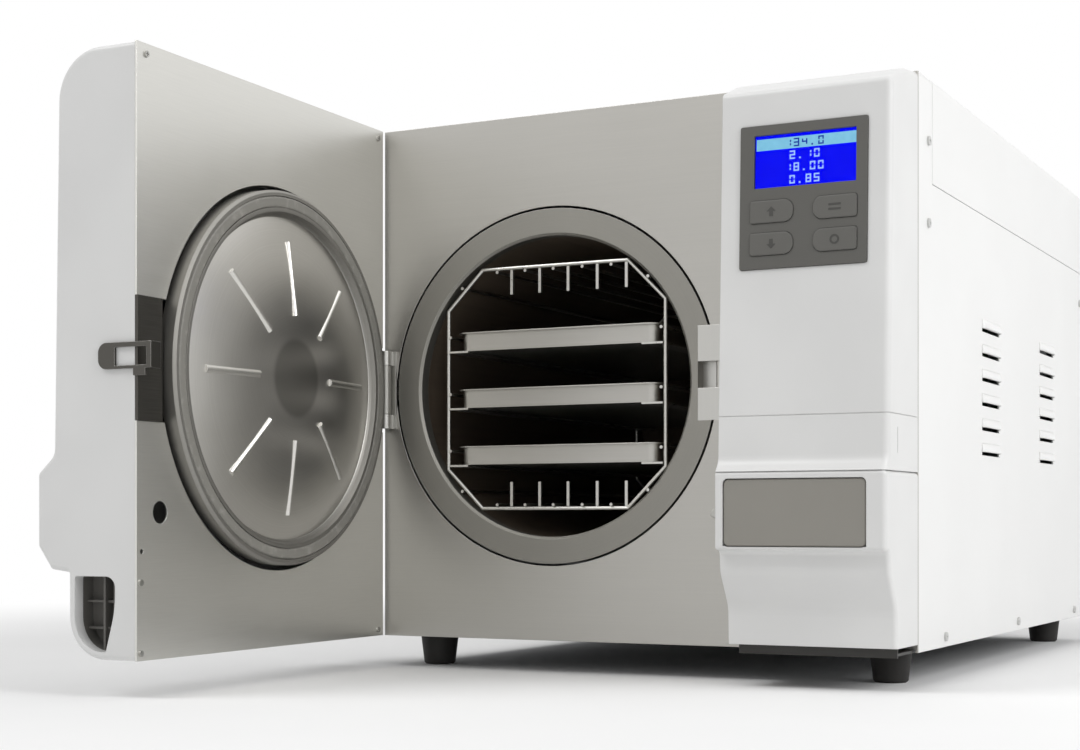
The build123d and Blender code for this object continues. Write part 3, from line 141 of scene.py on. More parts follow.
class Finish(Shading):
    """A surface finish: one material round one Principled shader."""

    def __init__(self, name, **constants):
        self.material = bpy.data.materials.new(name)
        self.material.use_nodes = True
        super().__init__(self.material.node_tree)
        self.surface = self.tree.nodes["Principled BSDF"]
        self.normal = None
        for socket, value in constants.items():
            self.surface.inputs[socket.replace("_", " ")].default_value = value

    def place(self):
        """The place on the piece, in metres."""
        return self.node("ShaderNodeTexCoord").outputs["Object"]

    def axis(self, name):
        """The place along one axis."""
        parts = self.node("ShaderNodeSeparateXYZ", None, {0: self.place()})
        return Field(self, parts.outputs[name])

    def grain(self, per_metre, detail, rough=0.5):
        """Uneven grain, 0 to 1, with so many grains to the metre: one number, or one for each axis."""
        if isinstance(per_metre, float):
            per_metre = (per_metre, per_metre, per_metre)
        sockets = {0: self.place(), 1: per_metre}
        spread = self.node("ShaderNodeVectorMath", {"operation": "MULTIPLY"}, sockets)
        sockets = {"Vector": spread.outputs["Vector"], "Scale": 1.0, "Detail": detail, "Roughness": rough}
        made = self.node("ShaderNodeTexNoise", None, sockets)
        return Field(self, made.outputs["Fac"])

    def blend(self, mask, first, second):
        """The first colour where the mask is 0, the second where it is 1."""
        factor, colour_a, colour_b, colour_out = 0, 6, 7, 2
        sockets = {factor: mask, colour_a: first, colour_b: second}
        made = self.node("ShaderNodeMix", {"data_type": "RGBA"}, sockets)
        return made.outputs[colour_out]

    def rounded(self, radius):
        """Light catches the edges as if rounded to this radius. Gives a mask, 1 along the edges."""
        self.normal = self.node("ShaderNodeBevel", {"samples": 5}, {"Radius": radius}).outputs["Normal"]
        face = self.node("ShaderNodeNewGeometry").outputs["True Normal"]
        dot = self.node("ShaderNodeVectorMath", {"operation": "DOT_PRODUCT"}, {0: self.normal, 1: face})
        return (1 - Field(self, dot.outputs["Value"])).between(EDGE_STARTS, EDGE_FULL)

    def relief(self, height, depth, strength):
        """A raised or sunk surface, with its height 0 to 1 over this depth."""
        sockets = {"Height": height, "Distance": depth, "Strength": strength}
        if self.normal:
            sockets["Normal"] = self.normal
        self.normal = self.node("ShaderNodeBump", None, sockets).outputs["Normal"]

    def wear(self, colour, roughness=None, light=None):
        """Joins what varies to the surface and gives the material."""
        for name, value in (("Base Color", colour), ("Roughness", roughness), ("Emission Color", light)):
            if value is not None:
                self.feed(self.surface.inputs[name], value)
        if self.normal:
            self.feed(self.surface.inputs["Normal"], self.normal)
        return self.material


def dress(material, *nodes):
    """Gives nodes of the construction their material."""
    for node in nodes:
        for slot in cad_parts[node].material_slots:
            slot.material = material


def satin_steel(name, colour, along, rough=0.34, edge=0.5 * MM):
    """Stainless sheet with a fine ground grain that runs along one axis, and a painted highlight that
    lightens its edges.
    """
    finish = Finish(name, Metallic=1.0)
    per_metre = [1400.0, 1400.0, 1400.0]
    per_metre["XYZ".index(along)] = 12.0
    lines = finish.grain(per_metre, detail=2.0)
    cloud = finish.grain(5.0, detail=2.0)
    edges = finish.rounded(edge)
    face = finish.blend(lines * 0.45 + cloud * 0.55, shade(colour, 0.90), shade(colour, 1.10))
    # Painted highlight: the edges are lightened towards a pale grey.
    edge_highlighted = finish.blend(edges * 0.6, face, tone(214, 213, 208))
    finish.relief(lines, depth=0.02 * MM, strength=0.5)
    return finish.wear(edge_highlighted, rough + lines.swing(0.10) + cloud.swing(0.12))


dress(satin_steel("front_plate_steel", tone(178, 176, 171), "X", rough=0.38), "front_plate")


# Base pan, cradles and feet: the pan is zinc plated steel folded up at the sides, and the strip of it under
# the control column, in front of the plate, is coloured dark grey. Two thicker plates cradle the vessel, and
# the pan stands on four rubber feet, each held by a screw from below.
def zinc(name, colour, rough=0.42):
    """Zinc plating or bare casting: a dull spangle over a fine tooth."""
    finish = Finish(name, Metallic=0.85)
    spangle = finish.grain(60.0, detail=4.0, rough=0.65)
    tooth = finish.grain(900.0, detail=2.0)
    finish.rounded(0.4 * MM)
    finish.relief(tooth, depth=0.02 * MM, strength=0.4)
    return finish.wear(finish.blend(spangle, shade(colour, 0.8), colour), rough + spangle.swing(0.2))


def rubber(name, colour, rough=0.62):
    """Moulded rubber: fine pores, some dust, and a painted highlight that lightens its edges."""
    finish = Finish(name)
    dust = finish.grain(140.0, detail=3.0)
    pores = finish.grain(1600.0, detail=2.0)
    edges = finish.rounded(0.6 * MM)
    finish.relief(pores, depth=0.04 * MM, strength=0.5)
    # Real dust and a painted highlight along the edges, both paler than the rubber.
    dust_and_edge_highlight = dust.between(0.5, 0.85) * 0.5 + edges * 0.4
    return finish.wear(finish.blend(dust_and_edge_highlight, colour, shade(colour, 1.8, lift=0.01)), rough + dust.swing(0.2))


dress(zinc("zinc_plate", tone(150, 152, 154)), "chamber_cradles")
dress(rubber("foot_rubber", tone(24, 21, 18)), "feet")

pan = Finish("base_pan_plate", Metallic=0.6)
pan_spangle = pan.grain(60.0, detail=4.0, rough=0.65)
plate_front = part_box("front_plate")[0][1]
# The strip in front of the plate, under the control column, is coloured dark grey.
behind_plate = pan.axis("Y").between(plate_front - 1 * MM, plate_front)
pan_face = pan.blend(behind_plate, tone(58, 57, 55), tone(146, 148, 150))
dress(pan.wear(pan_face, 0.42 + pan_spangle.swing(0.2)), "base_pan")


# Side panels, top cover and rear panel: 1.5 mm steel sheet, folded, with a white powder coat. Each side
# panel has two columns of louvres, pressed out of the sheet and open at the bottom.
def powder_coat(name, colour, rough=0.40):
    """Baked paint: a faint orange peel, barely cloudy, and a painted highlight that lightens its edges."""
    finish = Finish(name, Specular_IOR_Level=0.45)
    peel = finish.grain(650.0, detail=2.0)
    cloud = finish.grain(7.0, detail=3.0)
    edges = finish.rounded(0.8 * MM)
    finish.relief(peel, depth=0.05 * MM, strength=0.22)
    face = finish.blend(cloud.between(0.35, 0.75), shade(colour, 0.975), colour)
    # Painted highlight: the edges are lightened towards near white.
    return finish.wear(finish.blend(edges * 0.5, face, tone(250, 250, 248)), rough + peel.swing(0.08))


white_sheet = powder_coat("white_powder_coat", tone(236, 236, 235))
dress(white_sheet, "right_side_panel", "left_side_panel", "top_cover", "rear_panel", "tank_lid")
dress(powder_coat("screw_paint", tone(205, 205, 203), rough=0.3), "side_screws")


def piece(name, mesh, material, body):
    """A new piece from a bmesh, which moves with a body."""
    data = bpy.data.meshes.new(name)
    bmesh.ops.recalc_face_normals(mesh, faces=mesh.faces)
    mesh.to_mesh(data)
    mesh.free()
    made = bpy.data.objects.new(name, data)
    bpy.context.scene.collection.objects.link(made)
    data.materials.append(material)
    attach(made, body)
    return made


def smooth(made):
    """Shades a piece as one rounded surface."""
    for polygon in made.data.polygons:
        polygon.use_smooth = True


def surface_grid(mesh, point, columns, rows):
    """A net of faces through point(u, v), with u and v from 0 to 1."""
    net = []
    for row in range(rows + 1):
        net.append([mesh.verts.new(point(column / columns, row / rows)) for column in range(columns + 1)])
    for low, high in zip(net, net[1:]):
        for column in range(columns):
            mesh.faces.new((low[column], low[column + 1], high[column + 1], high[column]))


VENT_STARTS = (194 * MM, 414 * MM)
VENT_LENGTH = 60 * MM
VENT_ROWS = 6
VENT_TOP = 286 * MM
VENT_PITCH = 20.7 * MM
HOOD_HEIGHT = 7.5 * MM
HOOD_REACH = 2.6 * MM
HOOD_SHEET = 0.7 * MM
HOOD_LAP = 1 * MM
HOOD_DROP = 0.8 * MM
HOOD_CLEAR = 0.05 * MM
HOOD_END_RISE = 4.5


def louvres(name, outer_x, way):
    """The hoods over one side's slots: each springs from the sheet and stands proud at its lower lip."""
    mesh = bmesh.new()
    for start in VENT_STARTS:
        for row in range(VENT_ROWS):
            low = VENT_TOP - row * VENT_PITCH - HOOD_DROP

            def hood(along, up, start=start, low=low):
                ends = min(1.0, math.sin(math.pi * along) * HOOD_END_RISE) ** 0.5
                out = HOOD_REACH * ends * math.cos(0.5 * math.pi * up) ** 0.8
                return (
                    outer_x + way * (out + HOOD_CLEAR),
                    plate_front + start - HOOD_LAP + (VENT_LENGTH + 2 * HOOD_LAP) * along,
                    low + HOOD_HEIGHT * up,
                )

            surface_grid(mesh, hood, columns=20, rows=6)
    hoods = piece(name, mesh, white_sheet, "casing")
    wall = hoods.modifiers.new("wall", "SOLIDIFY")
    wall.thickness = HOOD_SHEET
    wall.offset = 0
    smooth(hoods)


louvres("right_louvres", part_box("right_side_panel")[1][0], way=1)
louvres("left_louvres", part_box("left_side_panel")[0][0], way=-1)


# Chamber: a turned flange ring welded to the mouth of a drawn stainless vessel. Heat has browned the
# vessel's inner wall, and the ring's face is turned bright for the gasket.
def middle(node):
    """The middle of the box round a node."""
    low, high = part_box(node)
    return [(a + b) / 2 for a, b in zip(low, high)]


def distance(finish, centre, plane):
    """How far a point lies from a centre, in the plane of two axes."""
    across, up = [finish.axis(axis) - centre["XYZ".index(axis)] for axis in plane]
    return (across * across + up * up) ** 0.5


def lathe_rings(finish, reach, per_metre, detail):
    """The fine rings that a lathe leaves at each reach from its centre, 0 to 1."""
    sockets = {"W": reach * per_metre, "Scale": 1.0, "Detail": detail}
    made = finish.node("ShaderNodeTexNoise", {"noise_dimensions": "1D"}, sockets)
    return Field(finish, made.outputs["Fac"])


flange = Finish("flange_steel", Metallic=1.0)
flange_grey = tone(144, 142, 136)
flange_reach = distance(flange, middle("chamber_flange"), "XZ")
flange_rings = lathe_rings(flange, flange_reach, 1500.0, detail=3.0)
flange_cloud = flange.grain(12.0, detail=3.0)
flange_edges = flange.rounded(0.5 * MM)
flange_mix = flange_rings * 0.55 + flange_cloud * 0.45
flange_face = flange.blend(flange_mix, shade(flange_grey, 0.82), shade(flange_grey, 1.18))
# Painted highlight: the ring's edges are lightened towards a pale grey.
flange_face = flange.blend(flange_edges * 0.7, flange_face, tone(220, 219, 215))
flange.relief(flange_rings, depth=0.05 * MM, strength=0.35)
flange_rough = 0.5 + flange_rings.swing(0.12) + flange_cloud.swing(0.08)
dress(flange.wear(flange_face, flange_rough), "chamber_flange")

vessel = Finish("browned_vessel_steel", Metallic=0.55)
drawn = vessel.grain((260.0, 3.0, 260.0), detail=3.0)
stain = vessel.grain((9.0, 5.0, 9.0), detail=4.0, rough=0.6)
vessel_colour = vessel.blend(drawn * 0.4 + stain * 0.6, tone(78, 69, 60), tone(128, 114, 99))
vessel.relief(drawn, depth=0.03 * MM, strength=0.3)
dress(vessel.wear(vessel_colour, 0.42 + stain.swing(0.2)), "chamber_vessel")


# Rack and trays: an octagonal frame of electropolished wire with three pairs of ledges, and three trays
# pressed from thin stainless sheet with a folded rim.
def polished_wire(name, colour, rough=0.24):
    """Bright drawn or turned steel with soft streaks."""
    finish = Finish(name, Metallic=1.0)
    streak = finish.grain((300.0, 40.0, 300.0), detail=3.0)
    finish.relief(streak, depth=0.02 * MM, strength=0.3)
    return finish.wear(finish.blend(streak, shade(colour, 0.8), colour), rough + streak.swing(0.16))


dress(polished_wire("rack_wire", tone(208, 207, 202), rough=0.3), "rack_frames", "rack_rails")
tray_steel = satin_steel("tray_steel", tone(182, 180, 175), "X", rough=0.36, edge=0.4 * MM)
dress(tray_steel, "tray_top", "tray_middle", "tray_bottom")


# Lid: a forged and turned disc on a spindle in the yoke, with eight pressed ribs on its polished dish, and
# a silicone gasket in a groove of its dull rim. It stands on the door's inner face and floats a little.
HUB_RADIUS = 30.0 * MM
DISH_RADIUS = 125.25 * MM

lid = Finish("lid_steel", Metallic=1.0)
lid_reach = distance(lid, middle("lid_disc"), "YZ")
lid_rings = lathe_rings(lid, lid_reach, 700.0, detail=2.0)
lid_cloud = lid.grain(10.0, detail=3.0)
dish = lid.blend(lid_rings * 0.35 + lid_cloud * 0.65, tone(202, 200, 195), tone(224, 222, 217))
rim = lid.blend(lid_rings * 0.5 + lid_cloud * 0.5, tone(132, 130, 125), tone(158, 156, 151))
at_rim = lid_reach.between(DISH_RADIUS - 0.75 * MM, DISH_RADIUS + 0.75 * MM)
# Painted reflection: the dish is darkened towards grey over its middle, round the hub.
painted_reflection_over_hub = 1 - lid_reach.between(HUB_RADIUS - 3 * MM, HUB_RADIUS + 3 * MM)
dish = lid.blend(painted_reflection_over_hub * 0.7, dish, tone(150, 148, 143))
lid.rounded(0.6 * MM)
lid.relief(lid_rings, depth=0.03 * MM, strength=0.2)
lid_rough = 0.31 + at_rim * 0.19 + lid_cloud.swing(0.08)
dress(lid.wear(lid.blend(at_rim, dish, rim), lid_rough), "lid_disc")
dress(rubber("gasket_silicone", tone(126, 124, 118), rough=0.5), "lid_gasket")


# Door: a glossy white moulding with a grip pocket at its lower free corner, lined with stainless sheets on
# the inside. Small cross-head screws hold the lining.
def moulding(name, colour, rough=0.33, texture=0.12, edge=0.9 * MM):
    """Injection moulded plastic: a faint sparked texture, slow waves, and a painted highlight that lightens
    its edges.
    """
    finish = Finish(name)
    spark = finish.grain(1100.0, detail=2.0)
    wave = finish.grain(9.0, detail=2.0)
    edges = finish.rounded(edge)
    finish.relief(spark, depth=0.04 * MM, strength=texture)
    face = finish.blend(wave.between(0.35, 0.7), shade(colour, 0.95), colour)
    # Painted highlight: the edges are lightened a little.
    face = finish.blend(edges * 0.5, face, shade(colour, 1.12, lift=0.01))
    return finish.wear(face, rough + spark.swing(0.08) + wave.swing(0.06))


white_plastic = moulding("white_moulding", tone(224, 224, 223), rough=0.34)
dress(white_plastic, "door_shell", "upper_fascia", "lower_fascia")
# The grip liner's ribs are moulded; its dark grey is painted shade for the inside of the pocket.
dress(moulding("grip_liner_painted_shade", tone(104, 102, 98), rough=0.45, texture=0.3), "grip_liner")
dress(satin_steel("door_lining_steel", tone(218, 217, 212), "Y", rough=0.36), "door_inner_plates")
dress(polished_wire("door_screw_steel", tone(190, 189, 185), rough=0.3), "door_screws")


# Yoke, hinge and lock: a dark steel bar crosses the door and carries the lid. Its bright machined knuckle
# turns on a pin in the hinge bracket, and its other end holds the loop that the lock bolt catches.
KNUCKLE_REACH = 14 * MM

yoke = Finish("yoke_steel", Metallic=1.0)
yoke_lines = yoke.grain((1400.0, 12.0, 1400.0), detail=2.0)
from_pin = distance(yoke, middle("hinge_pin"), "XY")
machined = 1 - from_pin.between(KNUCKLE_REACH - 1 * MM, KNUCKLE_REACH + 1 * MM)
dark_bar = yoke.blend(yoke_lines, tone(72, 70, 66), tone(92, 90, 86))
bright = yoke.blend(yoke_lines, tone(158, 157, 152), tone(178, 177, 172))
yoke.rounded(0.5 * MM)
yoke.relief(yoke_lines, depth=0.02 * MM, strength=0.5)
dress(yoke.wear(yoke.blend(machined, dark_bar, bright), 0.42 + yoke_lines.swing(0.1)), "yoke_bar")
# The latch loop's dark grey is painted shade.
dress(satin_steel("latch_steel_painted_shade", tone(88, 86, 82), "Y"), "latch_loop")
bracket_steel = satin_steel("bracket_steel", tone(192, 191, 187), "Z", rough=0.36)
dress(bracket_steel, "hinge_bracket", "lock_housing")
dress(polished_wire("pin_steel", tone(190, 189, 186), rough=0.22), "hinge_pin", "lock_bolt")


# Control column: a grey bezel with four D-shaped press keys, and below the ledge a grey flap that hides the
# paper roll. Below the lock stands the plunger that the closing door pushes in. All are plastic mouldings.
KEYS = ("key_upper_left", "key_upper_right", "key_lower_left", "key_lower_right")

bezel_plastic = moulding("bezel_plastic", tone(90, 89, 85), rough=0.46, texture=0.3, edge=0.5 * MM)
dress(bezel_plastic, "control_bezel")
dress(moulding("key_plastic", tone(95, 94, 90), rough=0.42, texture=0.3, edge=1.6 * MM), *KEYS)
flap_plastic = moulding("flap_plastic", tone(142, 139, 132), rough=0.42, texture=0.35, edge=0.6 * MM)
dress(flap_plastic, "printer_flap")
dress(moulding("plunger_plastic", tone(200, 199, 194), rough=0.35, texture=0.2), "door_plunger")


# Display: a liquid crystal cell lit blue from behind, under a clear window in the bezel. A pale band with a
# row of dark digits crosses its top, and three rows of pale digits stand under it.
WINDOW_TO_CELL = 0.72 * MM
CELL_LAP = 1.5 * MM
BAND_MARGIN = 0.8 * MM
BAND_HALF_HIGH = 4.2 * MM
BAND_BELOW_TOP = 6.6 * MM
ROW_PITCH = 9.0 * MM
DIGIT_WIDE = 4.2 * MM
DIGIT_HIGH = 6.2 * MM
DIGIT_GAP = 2.0 * MM
STROKE = 1.05 * MM
STROKE_GAP = 0.5 * MM
PRINT_THICK = 0.03 * MM
FACE_LEAN = math.radians(1.8)
face_up = Vector((0, math.sin(FACE_LEAN), math.cos(FACE_LEAN)))
face_out = Vector((0, -math.cos(FACE_LEAN), math.sin(FACE_LEAN)))
window_low, window_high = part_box("display_window")

cell = Finish("lit_display", Emission_Strength=1.0, Specular_IOR_Level=0.0)
mottle = cell.grain(90.0, detail=2.0)
lit = cell.blend(mottle, tone(0, 2, 236), tone(4, 10, 250))
behind_window = cell.axis("Z") > window_low[2] - CELL_LAP
cell_light = cell.blend(behind_window, tone(0, 0, 0), lit)
cell_face = cell.blend(mottle, tone(4, 4, 40), tone(6, 6, 48))
dress(cell.wear(cell_face, 0.35 + mottle * 0.1, cell_light), "display_module")

window = Finish("display_window_clear", IOR=1.1, Transmission_Weight=1.0)
haze = window.grain(400.0, detail=2.0)
window_face = window.blend(haze, tone(246, 248, 255), tone(252, 253, 255))
dress(window.wear(window_face, 0.04 + haze * 0.05), "display_window")


def flat_piece(name, outlines, base, thickness, material, body):
    """Closed outlines of (across, up) points that lie on the leaning face and stand out from it."""
    mesh = bmesh.new()
    for outline in outlines:
        foot = [base + Vector((x, 0, 0)) + face_up * up for x, up in outline]
        low = [mesh.verts.new(spot) for spot in foot]
        high = [mesh.verts.new(spot + face_out * thickness) for spot in foot]
        mesh.faces.new(low)
        mesh.faces.new(high)
        for number in range(len(low)):
            after = (number + 1) % len(low)
            mesh.faces.new((low[number], low[after], high[after], high[number]))
    piece(name, mesh, material, body)


def block(x0, x1, up0, up1):
    """The outline of an upright rectangle."""
    return [(x0, up0), (x1, up0), (x1, up1), (x0, up1)]


def glow(name, dim, bright):
    """Lit liquid crystal: a colour that is given off and not reflected."""
    finish = Finish(name, Emission_Strength=1.0, Specular_IOR_Level=0.0)
    flicker = finish.grain(260.0, detail=2.0)
    face = finish.blend(flicker, tone(10, 12, 30), tone(14, 16, 36))
    return finish.wear(face, 0.45 + flicker * 0.1, finish.blend(flicker, dim, bright))


SEGMENTS = {
    "0": "abcdef",
    "1": "bc",
    "2": "abged",
    "3": "abgcd",
    "4": "fgbc",
    "5": "afgcd",
    "8": "abcdefg",
}


def digits(text, across, up):
    """The outlines of a row of seven-segment digits round a middle, with a dot for a point."""
    pitch = DIGIT_WIDE + DIGIT_GAP
    start = across - pitch * len(text) / 2
    half = DIGIT_HIGH / 2
    outlines = []
    for place, sign in enumerate(text):
        x0 = start + place * pitch
        x1 = x0 + DIGIT_WIDE
        if sign == ".":
            outlines.append(block(x0 + STROKE, x0 + 2.2 * STROKE, up - half, up - half + 1.2 * STROKE))
            continue
        bars = {
            "a": block(x0, x1, up + half - STROKE, up + half),
            "g": block(x0, x1, up - STROKE / 2, up + STROKE / 2),
            "d": block(x0, x1, up - half, up - half + STROKE),
            "f": block(x0, x0 + STROKE, up + STROKE_GAP, up + half - STROKE),
            "b": block(x1 - STROKE, x1, up + STROKE_GAP, up + half - STROKE),
            "e": block(x0, x0 + STROKE, up - half + STROKE, up - STROKE_GAP),
            "c": block(x1 - STROKE, x1, up - half + STROKE, up - STROKE_GAP),
        }
        outlines += [bars[letter] for letter in SEGMENTS[sign]]
    return outlines


screen = Vector(middle("display_window")) - face_out * WINDOW_TO_CELL
half_wide = (window_high[0] - window_low[0]) / 2 - BAND_MARGIN
band_up = (window_high[2] - window_low[2]) / 2 - BAND_BELOW_TOP
band = [block(-half_wide, half_wide, band_up - BAND_HALF_HIGH, band_up + BAND_HALF_HIGH)]
band_blue = glow("display_band", tone(118, 186, 214), tone(140, 206, 232))
flat_piece("display_band", band, screen, PRINT_THICK, band_blue, "casing")

on_band = screen + face_out * (PRINT_THICK + 0.01 * MM)
marked = digits("134.0", 0, band_up)
dark_blue = glow("display_dark_digits", tone(20, 50, 150), tone(26, 60, 164))
flat_piece("display_marked_row", marked, on_band, PRINT_THICK, dark_blue, "casing")

rows = []
for row, text in enumerate(("2.10", "18.00", "0.85")):
    rows += digits(text, 0, band_up - (row + 1) * ROW_PITCH)
pale_blue = glow("display_pale_digits", tone(150, 186, 250), tone(170, 202, 255))
flat_piece("display_rows", rows, screen, PRINT_THICK, pale_blue, "casing")


# Key symbols: an up and a down arrow, a pair of bars and a ring. Each is raised on its own key, in a
# plastic a little darker than the key's.
ARROW_TIP = 3.6 * MM
ARROW_NECK = 0.2 * MM
ARROW_TAIL = 3.4 * MM
ARROW_HALF_WIDE = 3.4 * MM
SHAFT_HALF_WIDE = 1.4 * MM
BAR_HALF_LONG = 4.6 * MM
BAR_NEAR = 1.0 * MM
BAR_FAR = 2.4 * MM
RING_OUTER = 3.6 * MM
RING_INNER = 2.2 * MM
RING_STEPS = 20
SYMBOL_RAISED = 0.2 * MM
SYMBOL_CLEAR = 0.01 * MM

symbol_plastic = moulding("symbol_plastic", tone(66, 65, 62), rough=0.5, texture=0.2, edge=0.1 * MM)


def arrow(way):
    """An arrow's outline, up for 1 and down for -1."""
    tip, neck, tail = ARROW_TIP * way, ARROW_NECK * way, -ARROW_TAIL * way
    right = [(ARROW_HALF_WIDE, neck), (SHAFT_HALF_WIDE, neck), (SHAFT_HALF_WIDE, tail)]
    left = [(-x, up) for x, up in reversed(right)]
    return [(0, tip)] + right + left


def ring():
    """A ring as short outlines, side by side."""
    turns = [2 * math.pi * number / RING_STEPS for number in range(RING_STEPS + 1)]
    inner = [(math.cos(turn) * RING_INNER, math.sin(turn) * RING_INNER) for turn in turns]
    outer = [(math.cos(turn) * RING_OUTER, math.sin(turn) * RING_OUTER) for turn in turns]
    return [[inner[n], outer[n], outer[n + 1], inner[n + 1]] for n in range(RING_STEPS)]


upper_bar = block(-BAR_HALF_LONG, BAR_HALF_LONG, BAR_NEAR, BAR_FAR)
lower_bar = block(-BAR_HALF_LONG, BAR_HALF_LONG, -BAR_FAR, -BAR_NEAR)
symbols = {
    "key_upper_left": [arrow(1)],
    "key_lower_left": [arrow(-1)],
    "key_upper_right": [upper_bar, lower_bar],
    "key_lower_right": ring(),
}
for key, outlines in symbols.items():
    key_low, key_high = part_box(key)
    key_middle = middle(key)
    lean_in = (key_high[2] - key_low[2]) / 2 * math.tan(FACE_LEAN)
    key_face = Vector((key_middle[0], key_low[1] + lean_in, key_middle[2])) + face_out * SYMBOL_CLEAR
    flat_piece(key + "_symbol", outlines, key_face, SYMBOL_RAISED, symbol_plastic, key)


# Rear panel screws: button heads with a hexagon socket, turned from bright steel. Four down each side and
# one in the middle, above and below, hold the panel to the cover, the pan and the side panels.
HEAD_RADIUS = 3.8 * MM
HEAD_HEIGHT = 2.2 * MM
HEAD_STEPS = 24
SOCKET_HALF_WIDE = 0.42 * HEAD_RADIUS
SOCKET_FLOOR = 0.35
DOME = ((1.0, 0.0), (1.0, 0.25), (0.9, 0.66), (0.72, 0.9), (0.6, 0.98))
SCREW_INSET = 9 * MM
LOW_SCREWS_UP = 8 * MM
SIDE_SCREWS_UP = (148 * MM, 290 * MM)
HEAD_SUNK = 0.02 * MM


def button_head(mesh, centre, turn_to):
    """A domed head, its outline in shares of its radius and height, standing on a surface."""

    def hexagon(angle):
        """How far the socket's wall stands from its middle, at an angle."""
        return SOCKET_HALF_WIDE / math.cos((angle + math.pi / 6) % (math.pi / 3) - math.pi / 6)

    angles = [2 * math.pi * number / HEAD_STEPS for number in range(HEAD_STEPS)]
    outline = [([HEAD_RADIUS * reach] * HEAD_STEPS, up) for reach, up in DOME]
    outline += [([hexagon(angle) for angle in angles], up) for up in (1.0, SOCKET_FLOOR)]
    rings = []
    for reaches, up in outline:
        rings.append([])
        for angle, reach in zip(angles, reaches):
            spot = Vector((math.cos(angle) * reach, math.sin(angle) * reach, HEAD_HEIGHT * up))
            rings[-1].append(mesh.verts.new(centre + turn_to @ spot))
    for low, high in zip(rings, rings[1:]):
        for number in range(HEAD_STEPS):
            after = (number + 1) % HEAD_STEPS
            mesh.faces.new((low[number], low[after], high[after], high[number]))
    mesh.faces.new(rings[-1])


rear_low, rear_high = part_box("rear_panel")
backwards = Vector((0, 1, 0)).to_track_quat("Z", "Y")
screw_columns = [rear_low[0] + SCREW_INSET, (rear_low[0] + rear_high[0]) / 2, rear_high[0] - SCREW_INSET]
screw_rows = [rear_low[2] + up for up in (LOW_SCREWS_UP,) + SIDE_SCREWS_UP] + [rear_high[2] - SCREW_INSET]
rear_mesh = bmesh.new()
for screw_x in screw_columns:
    for screw_z in screw_rows:
        if screw_x != screw_columns[1] or screw_z in (screw_rows[0], screw_rows[-1]):
            button_head(rear_mesh, Vector((screw_x, rear_high[1] - HEAD_SUNK, screw_z)), backwards)
screw_steel = polished_wire("screw_steel", tone(176, 175, 171), rough=0.28)
smooth(piece("rear_screws", rear_mesh, screw_steel, "casing"))


# Pipes and heater bands: drawn copper pipe bent round the works and brazed at its ends, and three clamp
# bands drawn up round the vessel. Heat has tarnished them in patches.
copper = Finish("copper_pipe", Metallic=1.0)
tarnish = copper.grain(70.0, detail=4.0)
copper_face = copper.blend(tarnish, tone(150, 88, 58), tone(214, 142, 106))
dress(copper.wear(copper_face, 0.3 + tarnish * 0.2), "pipework", "heater_bands")


# Valves and drain ports: turned brass, screwed together and through the rear panel, with a row of solenoid
# valves on the pan.
brass = Finish("turned_brass", Metallic=1.0)
turned = brass.grain((900.0, 30.0, 900.0), detail=2.0)
brass.rounded(0.4 * MM)
brass_face = brass.blend(turned, tone(168, 138, 78), tone(214, 184, 118))
dress(brass.wear(brass_face, 0.28 + turned * 0.1), "safety_valve", "drain_ports", "solenoid_valves")


# Blanket, generator and bare metal works: a fibre blanket is wrapped round the vessel, and the steam
# generator is a pot of stainless sheet. The vacuum pump, the condenser, the lock's motor and the power
# supply have bodies of bare aluminium, screwed down inside the casing.
blanket = Finish("fibre_blanket", Roughness=0.9)
fibre = blanket.grain(240.0, detail=6.0, rough=0.7)
blanket.relief(fibre, depth=0.8 * MM, strength=0.8)
dress(blanket.wear(blanket.blend(fibre, tone(176, 174, 168), tone(232, 230, 224))), "insulation_jacket")
dress(satin_steel("generator_steel", tone(168, 166, 161), "Z"), "steam_generator")
aluminium = zinc("cast_aluminium", tone(158, 160, 162), rough=0.5)
dress(aluminium, "vacuum_pump", "condenser", "lock_motor", "power_supply")


# Tanks, filter and black mouldings: the tanks are blown and the filter's housing is moulded from milky
# plastic. The mains rocker, the condenser's fan and the printer are moulded in black.
milky_plastic = moulding("tank_plastic", tone(214, 218, 222), rough=0.4)
dress(milky_plastic, "clean_water_tank", "waste_water_tank", "air_filter")
black_plastic = moulding("black_plastic", tone(34, 34, 35), rough=0.46, texture=0.3)
dress(black_plastic, "mains_rocker", "condenser_fan", "printer_unit")


# Power inlet: one black moulding at the back, with the socket beside the switch's frame. Three plated
# pins stand in the socket, one above the other two.
SOCKET_INSET = 19 * MM
PIN_HALF_WIDE = 1.2 * MM
PIN_HALF_HIGH = 2.2 * MM
PIN_SPOTS = ((-7 * MM, -2 * MM), (7 * MM, -2 * MM), (0, 3 * MM))

inlet = Finish("inlet_plastic_and_pins")
inlet_low, inlet_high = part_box("power_inlet")
socket_x = inlet_high[0] - SOCKET_INSET
socket_z = (inlet_low[2] + inlet_high[2]) / 2
on_pin = 0
for pin_x, pin_z in PIN_SPOTS:
    beside = abs(inlet.axis("X") - (socket_x + pin_x)) < PIN_HALF_WIDE
    level = abs(inlet.axis("Z") - (socket_z + pin_z)) < PIN_HALF_HIGH
    on_pin = on_pin + beside * level
inlet.rounded(0.5 * MM)
inlet_spark = inlet.grain(1100.0, detail=2.0)
inlet_black = inlet.blend(inlet_spark, tone(30, 30, 31), tone(38, 38, 39))
inlet_face = inlet.blend(on_pin, inlet_black, tone(206, 196, 170))
dress(inlet.wear(inlet_face, 0.46 - on_pin * 0.16), "power_inlet")


